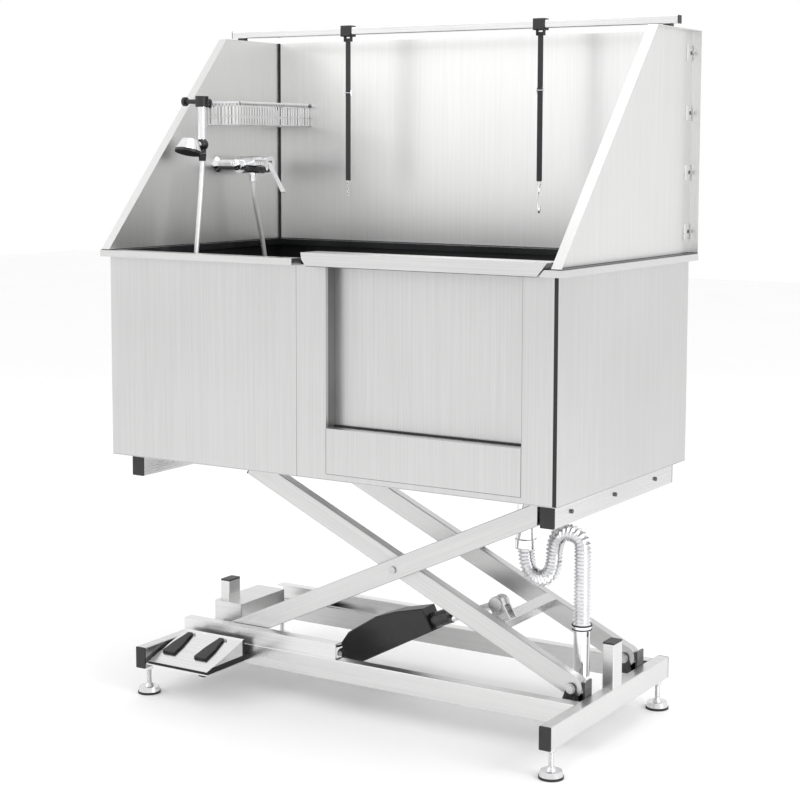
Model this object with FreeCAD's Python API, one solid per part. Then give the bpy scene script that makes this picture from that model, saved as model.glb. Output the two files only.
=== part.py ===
import FreeCAD, Part
import math
import os
from FreeCAD import Placement, Rotation, Vector

os.makedirs("parts", exist_ok=True)

# Electric lift bath for dogs: a steel tub with splash guards on a scissor lift.
# X runs along the tub (+X is the drain end), Y from the door side to the back,
# Z up from the floor.  Everything is in millimetres.

# ---------------------------------------------------------------- tub sizes
tub_length = 1270.0
tub_width = 700.0
tub_depth = 520.0            # floor sheet to the top of the rim
sheet = 2.0                  # tub sheet
rim_width = 40.0
rim_height = 16.0
rim_overhang = 18.0
rim_wall = 1.5

# ------------------------------------------------------------- splash guards
guard_height = 550.0
guard_flange = 25.0
guard_sheet = 1.5
guard_top_setback = 483.0    # how far the slanted edge leans back
guard_front_inset = 2.0      # from the rim's front edge
guard_side_inset = 5.0       # from the rim's outer edge to the flange
guard_back_reach = 376.0     # rear face of the guards

# ---------------------------------------------------------------- front door
door_frame_left = -61.0      # left edge of the door frame
door_clear_left = 24.0       # door opening
door_clear_right = 545.0
door_frame_right = 623.0
frame_depth = 38.0
frame_wall = 2.0
sill_bottom = 15.0           # above the tub floor
sill_top = 123.0
door_sheet = 3.0
door_overlap = 20.0          # how far the door runs behind the posts
door_gap = 0.5
guide_wall = 2.0
guide_depth = 5.0
cap_height = 32.0
cap_front_reach = 376.0
cap_slant = 28.0              # right end, bottom to top
cap_chamfer = 14.0           # lower left corner
cap_left = -29.0
cap_right = 618.0
corner_seal_depth = 9.0

# ------------------------------------------------------------------ the lift
tube_wall = 2.0
tube_corner = 2.5
base_tube_width = 30.0
base_tube_height = 55.0
base_bottom = 72.0
base_half_width = 320.0
base_left = -591.0           # outer face of the left cross tube
base_right = 612.0           # outer face of the right cross tube
end_cap = 3.0
track_height = 40.0
track_wall = 3.0
track_flange = 28.0
track_front = -150.0         # outer face of the front channel
track_rear = 292.0           # outer face of the rear channel
track_left = -572.0
track_right = -87.0
roller_radius = 13.0
roller_width = 20.0
roller_play = 1.0
axle_radius = 6.0
arm_angle = 24.8             # arm slope as stored, degrees
arm_width = 28.0
arm_height = 52.0
arm_gap = 2.0                # between an outer and an inner arm
channel_gap = 3.0            # between a channel flange and an outer arm
lower_half = 532.0           # centre pivot to either lower pivot
upper_half = 451.0           # centre pivot to either upper pivot
lower_drop = 4.0             # lower pivots lie under the arm's centre line
upper_rise = 51.5            # upper pivots lie over it, in lugs
lower_pivot_x = 544.0
arm_tail = 16.0              # outer arm past its lower roller
upper_arm_tail = 54.0        # tube past the upper roller
outer_arm_end = 13.0         # outer arm past its upper pivot
lug_width = 12.0
lug_radius = 22.0
hanger_wall = 4.0
hanger_gap = 2.0
hanger_radius = 15.0
pin_radius = 7.0
centre_pin_radius = 8.0
plug_neck = 6.0
running_fit = 0.05
bolt_head_radius = 9.5
bolt_head = 5.0
washer_radius = 12.5
washer = 2.0
ear_wall = 4.0
ear_gap = 0.5
ear_radius = 13.0
ear_foot = 24.0              # half the length of an ear's foot
stop_plate = 5.0
bearer_wall = 4.0
pivot_drop = 34.0            # lower pivot down to the bearer's top

# ------------------------------------------------------------- linear motor
motor_y = -20.0
motor_pivot = (-148.0, 106.0)
crank_pin = (310.0, 300.0)
crank_pin_radius = 6.0
crank_slack = 8.0            # the open pivot of the closed linkage
crank_along = 290.0          # cross tube, from the centre pivot along the arm
crank_rise = 12.0
crank_tube = 30.0
crank_lug = 6.0
crank_lug_gap = 12.0         # half the space between the two crank lugs
ram_radius = 10.0
ram_tube_radius = 20.0
ram_tube_rise = 8.0          # tube's axis over the ram's axis
ram_fit = 0.05
ram_tube_end = 352.0
ram_start = 205.0
ram_travel = 82.0            # depth of the bore behind the stored ram
housing_start = 20.0
housing_end = 300.0
housing_width = 62.0

# ---------------------------------------------------------------- base fitments
post_width = 30.0
post_depth = 48.0
post_y = 22.0
post_inset = 24.0            # left post, from the base's left face
post_top = 240.0
post_cap = 4.0
box_left = -578.0
box_right = -486.0
box_front = -15.0
box_back = 180.0
box_height = 56.0
box_wall = 2.0
foot_y = 290.0
foot_radius = 29.0
foot_height = 18.0
foot_rubber = 6.0
stem_radius = 6.0
nut_radius = 11.0
nut_height = 10.0
beam_width = 30.0
beam_height = 20.0

# ----------------------------------------------------------------- foot pedals
tray_left = -557.0
tray_right = -358.0
tray_front = -322.0
tray_top = 88.0
tray_wall = 3.0
wedge_inset = 4.0
wedge_front_height = 6.0
wedge_back_height = 54.0
wedge_back = -166.0
wedge_wall = 2.0
pedal_x = (-522.0, -419.0)
pedal_pivot_y = -186.0
pedal_length = 94.0
pedal_tip_width = 38.0
pedal_root_width = 12.0
pedal_thickness = 8.0
pedal_proud = 6.0
pedal_clearance = 2.0
pedal_pin_radius = 2.5
pedal_boss = 5.0
cable_radius = 3.0

# ------------------------------------------------------------------ tub frame
bearer_left = -596.0         # outer face of the left cross tube under the tub
bearer_right = 614.0
bearer_width = 36.0
bearer_height = 55.0
bearer_half_width = 318.0
frame_bolt_radius = 5.0
frame_bolt_head = 4.0
frame_bolt_y = (-239.0, -13.0, 215.0)

# ------------------------------------------------------------ bar and tethers
bar_size = 20.0
bar_wall = 1.5
bar_half = 663.0
bar_y = 200.0
bar_lift = 6.0
bar_cap = 2.0
tether_x = (-285.0, 292.0)
slider_wall = 4.0
slider_fit = 0.5
slider_length = 30.0
slider_lug = 8.0
strap_width = 14.0
strap_thickness = 3.0
strap_length = (372.0, 366.0)
buckle_drop = 140.0
clip_length = (42.0, 84.0)

# ------------------------------------------------------------------- fitments
basket_length = 318.0
basket_depth = 108.0
basket_height = 65.0
basket_wall = 2.5
basket_front = 28.0
basket_top = 380.0           # above the rim
mixer_height = 212.0         # above the rim
mixer_y = 148.0
mixer_reach = 60.0           # wall to the body's axis
mixer_radius = 23.0
mixer_half = 62.0
inlet_pitch = 150.0
inlet_radius = 11.0
rose_radius = 22.0
rose_height = 10.0
spout_radius = 9.0
spout_drop = 6.0
valve_radius = 24.0
valve_length = 42.0
valve_cap = 16.0
lever_length = 88.0
lever_width = 14.0
lever_thickness = 5.0
lever_lean = 32.0
lever_pin_radius = 1.8
holder_y = -70.0
holder_height = 377.0        # above the rim
holder_reach = 60.0
handle_radius = 10.5
handle_length = 99.0
elbow_radius = 16.0
head_radius = 35.0
head_height = 28.0
head_tilt = 16.0
hose_radius = 7.0
hose_gap = 0.5               # hose end to the swivel of the handset

# ----------------------------------------------------------------------- drain
drain_x = 372.0
drain_y = 0.0
drain_bore = 21.0
drain_tube_radius = 24.0
drain_tube_bottom = 452.0
drain_flange_radius = 44.0
drain_flange = 3.0
plug_radius = 19.0
plug_height = 10.0
knob_radius = 6.0
knob_height = 14.0
waste_hose_radius = 22.0
waste_pipe_radius = 19.5
waste_pipe_wall = 1.5
waste_pipe_top = 275.0
waste_pipe_bottom = 150.0
waste_pipe_x = 526.0
waste_trap_x = 450.0         # middle leg of the hose
waste_trap_z = 373.0
waste_arch_z = 493.0
waste_cuff = 12.0

# ------------------------------------------------------- worked-out places
half_length = tub_length / 2
half_width = tub_width / 2
angle = math.radians(arm_angle)
along = Vector(math.cos(angle), 0, math.sin(angle))        # up the outer arms
across = Vector(-math.sin(angle), 0, math.cos(angle))
down = Vector(math.cos(angle), 0, -math.sin(angle))        # down the inner arms
over = Vector(math.sin(angle), 0, math.cos(angle))
base_top = base_bottom + base_tube_height
roller_z = base_top + track_wall + roller_play + roller_radius
lower_pivot = Vector(lower_pivot_x, 0, roller_z)
centre = lower_pivot - down * lower_half + over * lower_drop
lower_roller = centre - along * lower_half - across * lower_drop
upper_pivot = centre + along * upper_half + across * upper_rise
upper_roller = centre - down * upper_half + over * upper_rise
upper_rail = upper_pivot.z - roller_radius - roller_play - track_wall
tub_bottom = upper_rail + track_height
floor_top = tub_bottom + sheet
rim_top = tub_bottom + tub_depth
rim_bottom = rim_top - rim_height
guard_top = rim_top + guard_height
rim_x = half_length + rim_overhang
rim_y = half_width + rim_overhang
guard_x = rim_x - guard_side_inset
wall_x = guard_x - guard_flange                             # inner face of a side guard
rear_wall_y = guard_back_reach - guard_flange - guard_sheet
outer_front = track_front + track_flange + channel_gap
inner_front = outer_front + arm_width + arm_gap
outer_rear = track_rear - track_flange - channel_gap - arm_width
inner_rear = outer_rear - arm_gap - arm_width
wall_face = -wall_x
mixer_z = rim_top + mixer_height
mixer_x = wall_face + mixer_reach
spout_z = mixer_z - mixer_radius - spout_drop
holder_z = rim_top + holder_height
holder_x = wall_face + holder_reach
handle_top = holder_z + 3
elbow_z = handle_top - handle_length - elbow_radius
nozzle_end = elbow_z - elbow_radius - 6

# Routes of the cords: corners of straight runs that are joined by tangent arcs.
waste_route = [
    (drain_x, drain_y, drain_tube_bottom), (drain_x, drain_y, waste_trap_z),
    (waste_trap_x, drain_y, waste_trap_z), (waste_trap_x, drain_y, waste_arch_z),
    (waste_pipe_x, drain_y, waste_arch_z), (waste_pipe_x, drain_y, waste_pipe_top),
]
hose_steps = [               # from the mixer's spout
    (0, 0, 0), (0, 0, -45), (2, 16, -110), (5, 38, -190), (9, 58, -315), (12, 60, -440),
    (14, 2, -562), (14, -110, -600), (13, -218, -566), (9, -276, -462), (5, -273, -342), (2, -252, -220),
]
shower_route = [(mixer_x + x, mixer_y + y, spout_z + z) for x, y, z in hose_steps]
shower_route += [(holder_x, holder_y, nozzle_end - hose_gap - 48), (holder_x, holder_y, nozzle_end - hose_gap)]
pedal_cable_route = [
    (-470, -232, 85), (-471, -228, 52), (-476, -192, 30), (-486, -140, 27),
    (-497, -84, 35), (-505, -34, 60), (-506, 2, 93), (-506, 8, 127),
]
motor_cable_route = [
    (-486, 20, 137), (-462, 19, 135), (-418, 0, 121), (-350, -30, 110),
    (-285, -46, 104), (-225, -40, 106), (-168.4, -20, 116.9), (-138.0, -20, 129.8),
]


# ------------------------------------------------------------------- helpers
def save(name, *solids):
    shape = solids[0] if len(solids) == 1 else Part.makeCompound(list(solids))
    shape.exportStep("parts/" + name + ".step")


def block(x0, x1, y0, y1, z0, z1):
    return Part.makeBox(x1 - x0, y1 - y0, z1 - z0, Vector(x0, y0, z0))


def rod(start, end, radius):
    start = Vector(*start)
    end = Vector(*end)
    return Part.makeCylinder(radius, (end - start).Length, start, end - start)


def rod_y(x, z, y0, y1, radius):
    return rod((x, y0, z), (x, y1, z), radius)


def rounded_block(x0, x1, y0, y1, z0, z1, radius, axis):
    solid = block(x0, x1, y0, y1, z0, z1)
    edges = []
    for edge in solid.Edges:
        line = edge.Vertexes[1].Point - edge.Vertexes[0].Point
        if abs(line.normalize().dot(axis)) > 0.99:
            edges.append(edge)
    return solid.makeFillet(radius, edges)


def box_tube(x0, x1, y0, y1, z0, z1, wall, axis):
    """Rectangular tube with rounded corners and both ends open."""
    outer = rounded_block(x0, x1, y0, y1, z0, z1, tube_corner, axis)
    inset = Vector(wall, wall, wall) - axis * (wall + 1.0)
    inner = block(x0 + inset.x, x1 - inset.x, y0 + inset.y, y1 - inset.y, z0 + inset.z, z1 - inset.z)
    return outer.cut(inner)


def prism_y(points, y0, y1):
    """Solid between two Y planes from an outline of (x, z) points."""
    corners = [Vector(x, y0, z) for x, z in points]
    face = Part.Face(Part.makePolygon(corners + corners[:1]))
    return face.extrude(Vector(0, y1 - y0, 0))


def prism_x(points, x0, x1):
    """Solid between two X planes from an outline of (y, z) points."""
    corners = [Vector(x0, y, z) for y, z in points]
    face = Part.Face(Part.makePolygon(corners + corners[:1]))
    return face.extrude(Vector(x1 - x0, 0, 0))


def channel(x0, x1, web_y, inward, z0):
    """C channel along X; its open side faces along inward (+1 or -1)."""
    depth = track_flange * inward
    y0, y1 = sorted((web_y, web_y + depth))
    outer = block(x0, x1, y0, y1, z0, z0 + track_height)
    y0, y1 = sorted((web_y + track_wall * inward, web_y + (track_flange + 1) * inward))
    return outer.cut(block(x0 - 1, x1 + 1, y0, y1, z0 + track_wall, z0 + track_height - track_wall))


def turned(shape, degrees, origin):
    """Copy turned about +Y through origin."""
    copy = shape.copy()
    copy.rotate(origin, Vector(0, 1, 0), degrees)
    return copy


def cord_path(points):
    """Wire of straight runs and the largest tangent arcs that its runs allow."""
    points = [Vector(*p) for p in points]
    edges = []
    radii = []
    last = points[0]
    for before, corner, after in zip(points, points[1:], points[2:]):
        run_in = corner - before
        run_out = after - corner
        turn = run_in.getAngle(run_out)
        radius = 0.45 * min(run_in.Length, run_out.Length) / math.tan(turn / 2)
        cut = radius * math.tan(turn / 2)
        start = corner - run_in.normalize() * cut
        end = corner + run_out.normalize() * cut
        bisector = (run_out - run_in).normalize()
        middle = corner + bisector * (radius / math.cos(turn / 2) - radius)
        edges.append(Part.LineSegment(last, start).toShape())
        edges.append(Part.Arc(start, middle, end).toShape())
        radii.append(round(radius, 1))
        last = end
    edges.append(Part.LineSegment(last, points[-1]).toShape())
    return Part.Wire(edges), radii


def cord(name, points, radius):
    path, radii = cord_path(points)
    start = Vector(*points[0])
    heading = Vector(*points[1]) - start
    ring = Part.Wire(Part.Circle(start, heading, radius).toShape())
    solid = path.makePipeShell([ring], True, True)
    expected = math.pi * radius ** 2 * path.Length
    print(name, "length", round(path.Length), "radii", radii, "volume", round(solid.Volume / expected, 4))
    return solid


# ---------------------------------------------------------------- base frame
def base_cross_tube(x0):
    tube = box_tube(x0, x0 + base_tube_width, -base_half_width, base_half_width,
                    base_bottom, base_top, tube_wall, Vector(0, 1, 0))
    return tube


base_inner_left = base_left + base_tube_width
base_inner_right = base_right - base_tube_width
base_frame = [base_cross_tube(base_left), base_cross_tube(base_inner_right)]

rail_y = (track_front, track_rear - base_tube_width)
for y0 in rail_y:
    base_frame.append(box_tube(base_inner_left, base_inner_right, y0, y0 + base_tube_width,
                          base_bottom, base_top, tube_wall, Vector(1, 0, 0)))
beam_x = motor_pivot[0] - beam_width / 2
beam = box_tube(beam_x, beam_x + beam_width, rail_y[0] + base_tube_width, rail_y[1],
                base_bottom, base_bottom + beam_height, tube_wall, Vector(0, 1, 0))
base_frame.append(beam)

motor_ears = []
for y0 in (motor_y - 10 - ear_wall - ear_gap, motor_y + 10 + ear_gap):
    ear = block(motor_pivot[0] - 12, motor_pivot[0] + 12, y0, y0 + ear_wall,
                base_bottom + beam_height, motor_pivot[1])
    ear = ear.fuse(rod_y(motor_pivot[0], motor_pivot[1], y0, y0 + ear_wall, 12))
    motor_ears.append(ear.removeSplitter())
motor_pin = rod_y(motor_pivot[0], motor_pivot[1], motor_y - 20, motor_y + 20, crank_pin_radius)
motor_ears = [ear.cut(motor_pin) for ear in motor_ears]


def end_caps(x0, width, half, z0, height):
    caps = []
    for y0 in (-half - end_cap, half):
        caps.append(rounded_block(x0, x0 + width, y0, y0 + end_cap, z0, z0 + height,
                                  tube_corner, Vector(0, 1, 0)))
    return caps


post_x = (base_left + post_inset, base_inner_right + (base_tube_width - post_width) / 2)
post_front = post_y - post_depth / 2
post_back = post_y + post_depth / 2
post_foot = (base_top + box_height, base_top)
caps = end_caps(base_left, base_tube_width, base_half_width, base_bottom, base_tube_height)
caps += end_caps(base_inner_right, base_tube_width, base_half_width, base_bottom, base_tube_height)
for x0, z0 in zip(post_x, post_foot):
    base_frame.append(box_tube(x0, x0 + post_width, post_front, post_back,
                               z0, post_top - post_cap, tube_wall, Vector(0, 0, 1)))
    caps.append(rounded_block(x0, x0 + post_width, post_front, post_back,
                              post_top - post_cap, post_top, tube_corner, Vector(0, 0, 1)))
save("base_frame_tubes", *base_frame)
save("base_end_caps", *caps)

save("lower_tracks",
     channel(track_left, track_right, track_front, 1, base_top),
     channel(track_left, track_right, track_rear, -1, base_top))

# ------------------------------------------- bearers and ears, lower pivots
bearer_top = roller_z - pivot_drop
ears = []
bolts = []
for y0 in (inner_front, inner_rear):
    y1 = y0 + arm_width
    outside = y0 - ear_gap - ear_wall
    far_side = y1 + ear_gap + ear_wall
    shoe = block(lower_pivot_x - ear_foot - 6, base_inner_right, outside, far_side,
                 bearer_top - bearer_wall, bearer_top)
    shoe = shoe.fuse(block(base_inner_right - stop_plate, base_inner_right, outside, far_side,
                           bearer_top, roller_z + arm_height * 0.4))
    hole = rod_y(lower_pivot_x, roller_z, outside - 1, far_side + 1, pin_radius)
    for e0 in (outside, far_side - ear_wall):
        ear = prism_y([(lower_pivot_x - ear_foot, bearer_top), (lower_pivot_x + ear_foot, bearer_top),
                       (lower_pivot_x + ear_radius * 0.9, roller_z), (lower_pivot_x - ear_radius * 0.9, roller_z)],
                      e0, e0 + ear_wall)
        ear = ear.fuse(rod_y(lower_pivot_x, roller_z, e0, e0 + ear_wall, ear_radius))
        shoe = shoe.fuse(ear)
    ears.append(shoe.removeSplitter().cut(hole))
    bolt = rod_y(lower_pivot_x, roller_z, outside - washer, far_side + washer, pin_radius)
    bolt = bolt.fuse(rod_y(lower_pivot_x, roller_z, outside - washer, outside, washer_radius))
    bolt = bolt.fuse(rod_y(lower_pivot_x, roller_z, far_side, far_side + washer, washer_radius))
    bolt = bolt.fuse(rod_y(lower_pivot_x, roller_z, outside - washer - bolt_head, outside - washer,
                           bolt_head_radius))
    bolts.append(bolt.fuse(rod_y(lower_pivot_x, roller_z, far_side + washer,
                                 far_side + washer + bolt_head, bolt_head_radius)).removeSplitter())
save("base_pivot_ears", *ears, *motor_ears)


# ------------------------------------------------------------ levelling feet
def levelling_foot(x, y):
    rubber = rod((x, y, 0), (x, y, foot_rubber), foot_radius)
    cup = Part.makeCone(foot_radius - 1, foot_radius - 4, foot_height - foot_rubber,
                        Vector(x, y, foot_rubber))
    collar = Part.makeCone(13, 8, 8, Vector(x, y, foot_height))
    stem = rod((x, y, foot_height + 8), (x, y, base_bottom), stem_radius)
    nut = Part.makePolygon([Vector(x + nut_radius * math.cos(math.radians(60 * k)),
                                   y + nut_radius * math.sin(math.radians(60 * k)),
                                   base_bottom - nut_height) for k in range(7)])
    nut = Part.Face(nut).extrude(Vector(0, 0, nut_height))
    return rubber, cup.fuse([collar, stem, nut]).removeSplitter()


foot_x = {"left": base_left + base_tube_width / 2, "right": base_right - base_tube_width / 2}
for depth, y in (("front", -foot_y), ("rear", foot_y)):
    for side in ("left", "right"):
        save("levelling_foot_" + depth + "_" + side, *levelling_foot(foot_x[side], y))

# -------------------------------------------------------------- control box
box_z = base_top
shell = rounded_block(box_left, box_right, box_front, box_back, box_z, box_z + box_height, 3,
                      Vector(0, 0, 1))
shell = shell.cut(block(box_left + box_wall, box_right - box_wall, box_front + box_wall,
                        box_back - box_wall, box_z + box_wall, box_z + box_height - box_wall))
inlet_y = box_back - 45
inlet_z = box_z + box_height / 2
inlet_hole = block(box_left - 1, box_left + box_wall + 1, inlet_y - 14, inlet_y + 14, inlet_z - 10, inlet_z + 10)
save("control_box", shell.cut(inlet_hole))
inlet = block(box_left - 3, box_left, inlet_y - 20, inlet_y + 20, inlet_z - 15, inlet_z + 15)
inlet = inlet.fuse(block(box_left, box_left + 22, inlet_y - 14, inlet_y + 14, inlet_z - 10, inlet_z + 10))
inlet = inlet.cut(block(box_left - 4, box_left + 14, inlet_y - 11, inlet_y + 11, inlet_z - 7, inlet_z + 7))
save("power_inlet", inlet.removeSplitter())

# --------------------------------------------------------------- foot pedals
wedge_front = tray_front + wedge_inset
wedge_left = tray_left + wedge_inset
wedge_right = tray_right - wedge_inset
wedge_slope = math.atan2(wedge_back_height - wedge_front_height, wedge_back - wedge_front)
tray = block(tray_left, tray_right, tray_front, track_front, tray_top - tray_wall, tray_top)


def wedge_height(y):
    return tray_top + wedge_front_height + (y - wedge_front) * math.tan(wedge_slope)


wedge = prism_x([(wedge_front, tray_top), (wedge_back, tray_top), (wedge_back, wedge_height(wedge_back)),
                 (wedge_front, wedge_height(wedge_front))], wedge_left, wedge_right)
inner_back = wedge_back - wedge_wall
inner_front_y = wedge_front + wedge_wall
skin_drop = wedge_wall / math.cos(wedge_slope)
hollow = prism_x([(inner_front_y, tray_top - 1), (inner_back, tray_top - 1),
                  (inner_back, wedge_height(inner_back) - skin_drop),
                  (inner_front_y, wedge_height(inner_front_y) - skin_drop)],
                 wedge_left + wedge_wall, wedge_right - wedge_wall)
wedge = wedge.cut(hollow)
pedal_pivot_z = wedge_height(pedal_pivot_y) + 1.0


def pedal_outline(grow):
    tip = pedal_tip_width / 2 + grow
    root = pedal_root_width / 2 + grow
    return [(-pedal_length - grow, -tip), (-pedal_length - grow, tip),
            (-pedal_length * 0.55, tip * 0.86), (grow, root), (grow, -root), (-pedal_length * 0.55, -tip * 0.86)]


def pedal_solid(x, grow, low, high):
    """Tapered pedal plate lying on the slope behind its pivot line."""
    corners = [Vector(x + u, pedal_pivot_y + v, pedal_pivot_z + low) for v, u in pedal_outline(grow)]
    plate = Part.Face(Part.makePolygon(corners + corners[:1])).extrude(Vector(0, 0, high - low))
    plate.rotate(Vector(x, pedal_pivot_y, pedal_pivot_z), Vector(1, 0, 0), math.degrees(wedge_slope))
    return plate


pedals = []
pins = []
for x in pedal_x:
    hinge_half = pedal_root_width / 2
    wedge = wedge.cut(pedal_solid(x, pedal_clearance, -6.0, 12.0))
    wedge = wedge.cut(rod((x - hinge_half - 0.8, pedal_pivot_y, pedal_pivot_z),
                          (x + hinge_half + 0.8, pedal_pivot_y, pedal_pivot_z), pedal_boss + 1.0))
    plate = pedal_solid(x, 0.0, pedal_proud - pedal_thickness, pedal_proud)
    boss = rod((x - hinge_half, pedal_pivot_y, pedal_pivot_z), (x + hinge_half, pedal_pivot_y, pedal_pivot_z), pedal_boss)
    bore = rod((x - 20, pedal_pivot_y, pedal_pivot_z), (x + 20, pedal_pivot_y, pedal_pivot_z),
               pedal_pin_radius + running_fit)
    pedals.append(plate.fuse(boss).removeSplitter().cut(bore))
    pins.append(rod((x - 14, pedal_pivot_y, pedal_pivot_z), (x + 14, pedal_pivot_y, pedal_pivot_z),
                    pedal_pin_radius))
    for side in (-1, 1):
        near = x + side * (hinge_half + 1)
        far = x + side * (hinge_half + 6)
        saddle = block(min(near, far), max(near, far), pedal_pivot_y - 4, pedal_pivot_y + 4,
                       pedal_pivot_z - 6, pedal_pivot_z + 4)
        wedge = wedge.fuse(saddle)
    wedge = wedge.cut(pins[-1])
save("pedal_housing", tray, wedge.removeSplitter())
save("raise_pedal", pedals[0])
save("lower_pedal", pedals[1])
save("base_pivot_pins", *bolts, motor_pin, *pins)
save("control_cables", cord("pedal_cable", pedal_cable_route, cable_radius),
     cord("motor_cable", motor_cable_route, cable_radius))


# -------------------------------------------------------------- scissor arms
def arm(y0, start, end, lean):
    """Rectangular tube that lies along an arm; start and end count from the centre pivot."""
    tube = box_tube(centre.x + start, centre.x + end, y0, y0 + arm_width,
                    centre.z - arm_height / 2, centre.z + arm_height / 2, tube_wall, Vector(1, 0, 0))
    return turned(tube, lean, centre)


def lug(y0, y1, pivot, foot_along, foot_across, radius):
    """Plate from the arm's top face up to a pivot."""
    offset = 0.8 * radius
    top = arm_height / 2
    base_point = centre + foot_along + foot_across * top
    direction = foot_along.normalize()
    corners = [base_point - direction * radius * 1.4, base_point + direction * radius * 1.4,
               pivot + direction * offset, pivot - direction * offset]
    plate = prism_y([(p.x, p.z) for p in corners], y0, y1)
    return plate.fuse(rod_y(pivot.x, pivot.z, y0, y1, radius * 0.9)).removeSplitter()


inner_rows = (inner_front, inner_rear)
outer_rows = (outer_front, outer_rear)
inner_arms = []
outer_arms = []
inner_lugs = []
outer_lugs = []
centre_bore = rod_y(centre.x, centre.z, outer_front - 1, outer_rear + arm_width + 1,
                    centre_pin_radius + running_fit)
lower_bore = rod_y(lower_pivot.x, lower_pivot.z, outer_front, outer_rear + arm_width, pin_radius + running_fit)
axle_bore = rod_y(lower_roller.x, lower_roller.z, outer_front - 1, outer_rear + arm_width + 1,
                  axle_radius + running_fit)
for inner_y, outer_y in zip(inner_rows, outer_rows):
    tube = arm(inner_y, -upper_half - upper_arm_tail, lower_half, arm_angle)
    round_end = rod_y(centre.x + lower_half, centre.z, inner_y, inner_y + arm_width, arm_height / 2)
    tube = tube.fuse(turned(round_end, arm_angle, centre)).removeSplitter()
    inner_arms.append(tube.cut([centre_bore, lower_bore]))
    tube = arm(outer_y, -lower_half - arm_tail, upper_half + outer_arm_end + 40, -arm_angle)
    end_x = upper_pivot.x + outer_arm_end
    trim = block(end_x, end_x + 200, outer_y - 1, outer_y + arm_width + 1, 0, 2000)
    outer_arms.append(tube.cut([trim, centre_bore, axle_bore]))
    middle = inner_y + arm_width / 2
    bore = rod_y(upper_roller.x, upper_roller.z, middle - 30, middle + 30, axle_radius + running_fit)
    plate = lug(middle - lug_width / 2, middle + lug_width / 2, upper_roller,
                down * -upper_half, over, lug_radius)
    inner_lugs.append(plate.cut(bore))
    middle = outer_y + arm_width / 2
    bore = rod_y(upper_pivot.x, upper_pivot.z, middle - 30, middle + 30, axle_radius + running_fit)
    plate = lug(middle - lug_width / 2, middle + lug_width / 2, upper_pivot,
                along * (upper_half - 12), across, lug_radius)
    outer_lugs.append(plate.cut(bore))
save("inner_arms", *inner_arms, *inner_lugs)

brace_along = lower_half - 92.0
brace_at = centre - along * brace_along
brace = box_tube(brace_at.x - 15, brace_at.x + 15, outer_front + arm_width, outer_rear,
                 brace_at.z - 15, brace_at.z + 15, tube_wall, Vector(0, 1, 0))
brace = turned(brace, -arm_angle, brace_at)
save("outer_arms", *outer_arms, *outer_lugs, brace)

crank_at = centre + down * crank_along + over * crank_rise
crank = box_tube(crank_at.x - crank_tube / 2, crank_at.x + crank_tube / 2,
                 inner_front + arm_width, inner_rear,
                 crank_at.z - crank_tube / 2, crank_at.z + crank_tube / 2, tube_wall, Vector(0, 1, 0))
crank = turned(crank, arm_angle, crank_at)

crank_lugs = []
for y0 in (motor_y - crank_lug_gap - crank_lug, motor_y + crank_lug_gap):
    pin_at = Vector(crank_pin[0], 0, crank_pin[1])
    half = crank_tube / 2
    foot_a = crank_at - down * half - over * half
    foot_b = crank_at + down * half + over * half
    foot_c = crank_at - down * half + over * half
    eye = crank_pin_radius + crank_slack + 6
    side_a = pin_at - down * eye * 0.9 - over * eye * 0.4
    side_b = pin_at + down * eye * 0.8 + over * eye * 0.55
    plate = prism_y([(p.x, p.z) for p in (foot_a, foot_c, foot_b, side_b, side_a)], y0, y0 + crank_lug)
    plate = plate.fuse(rod_y(pin_at.x, pin_at.z, y0, y0 + crank_lug, eye))
    plate = plate.cut(turned(block(crank_at.x - half, crank_at.x + half, y0 - 1, y0 + crank_lug + 1,
                                   crank_at.z - half, crank_at.z + half), arm_angle, crank_at))
    plate = plate.cut(rod_y(pin_at.x, pin_at.z, y0 - 1, y0 + crank_lug + 1, crank_pin_radius + crank_slack))
    crank_lugs.append(plate.removeSplitter())
save("crank_tube", crank, *crank_lugs)

centre_bolts = []
for inner_y, outer_y in zip(inner_rows, outer_rows):
    y0 = min(inner_y, outer_y)
    y1 = max(inner_y, outer_y) + arm_width
    bolt = rod_y(centre.x, centre.z, y0 - bolt_head, y1 + bolt_head, centre_pin_radius)
    bolt = bolt.fuse(rod_y(centre.x, centre.z, y0 - bolt_head, y0 - 0.4, bolt_head_radius))
    bolt = bolt.fuse(rod_y(centre.x, centre.z, y1 + 0.4, y1 + bolt_head, bolt_head_radius))
    centre_bolts.append(bolt.removeSplitter())
save("centre_bolts", *centre_bolts)


def arm_plug(y0, lean, position, outward):
    """Plastic plug that closes an arm tube's end."""
    inside = tube_wall + 0.3
    neck_x = sorted((centre.x + position, centre.x + position - outward * plug_neck))
    neck = block(neck_x[0], neck_x[1], y0 + inside, y0 + arm_width - inside,
                 centre.z - arm_height / 2 + inside, centre.z + arm_height / 2 - inside)
    lid_x = sorted((centre.x + position, centre.x + position + outward * end_cap))
    lid = rounded_block(lid_x[0], lid_x[1], y0, y0 + arm_width, centre.z - arm_height / 2,
                        centre.z + arm_height / 2, tube_corner, Vector(1, 0, 0))
    return turned(neck.fuse(lid).removeSplitter(), lean, centre)


inner_plugs = []
outer_plugs = []
for inner_y, outer_y in zip(inner_rows, outer_rows):
    inner_plugs.append(arm_plug(inner_y, arm_angle, -upper_half - upper_arm_tail, -1))
    outer_plugs.append(arm_plug(outer_y, -arm_angle, -lower_half - arm_tail, -1))
save("inner_arm_plugs", *inner_plugs)
save("outer_arm_plugs", *outer_plugs)


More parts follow.
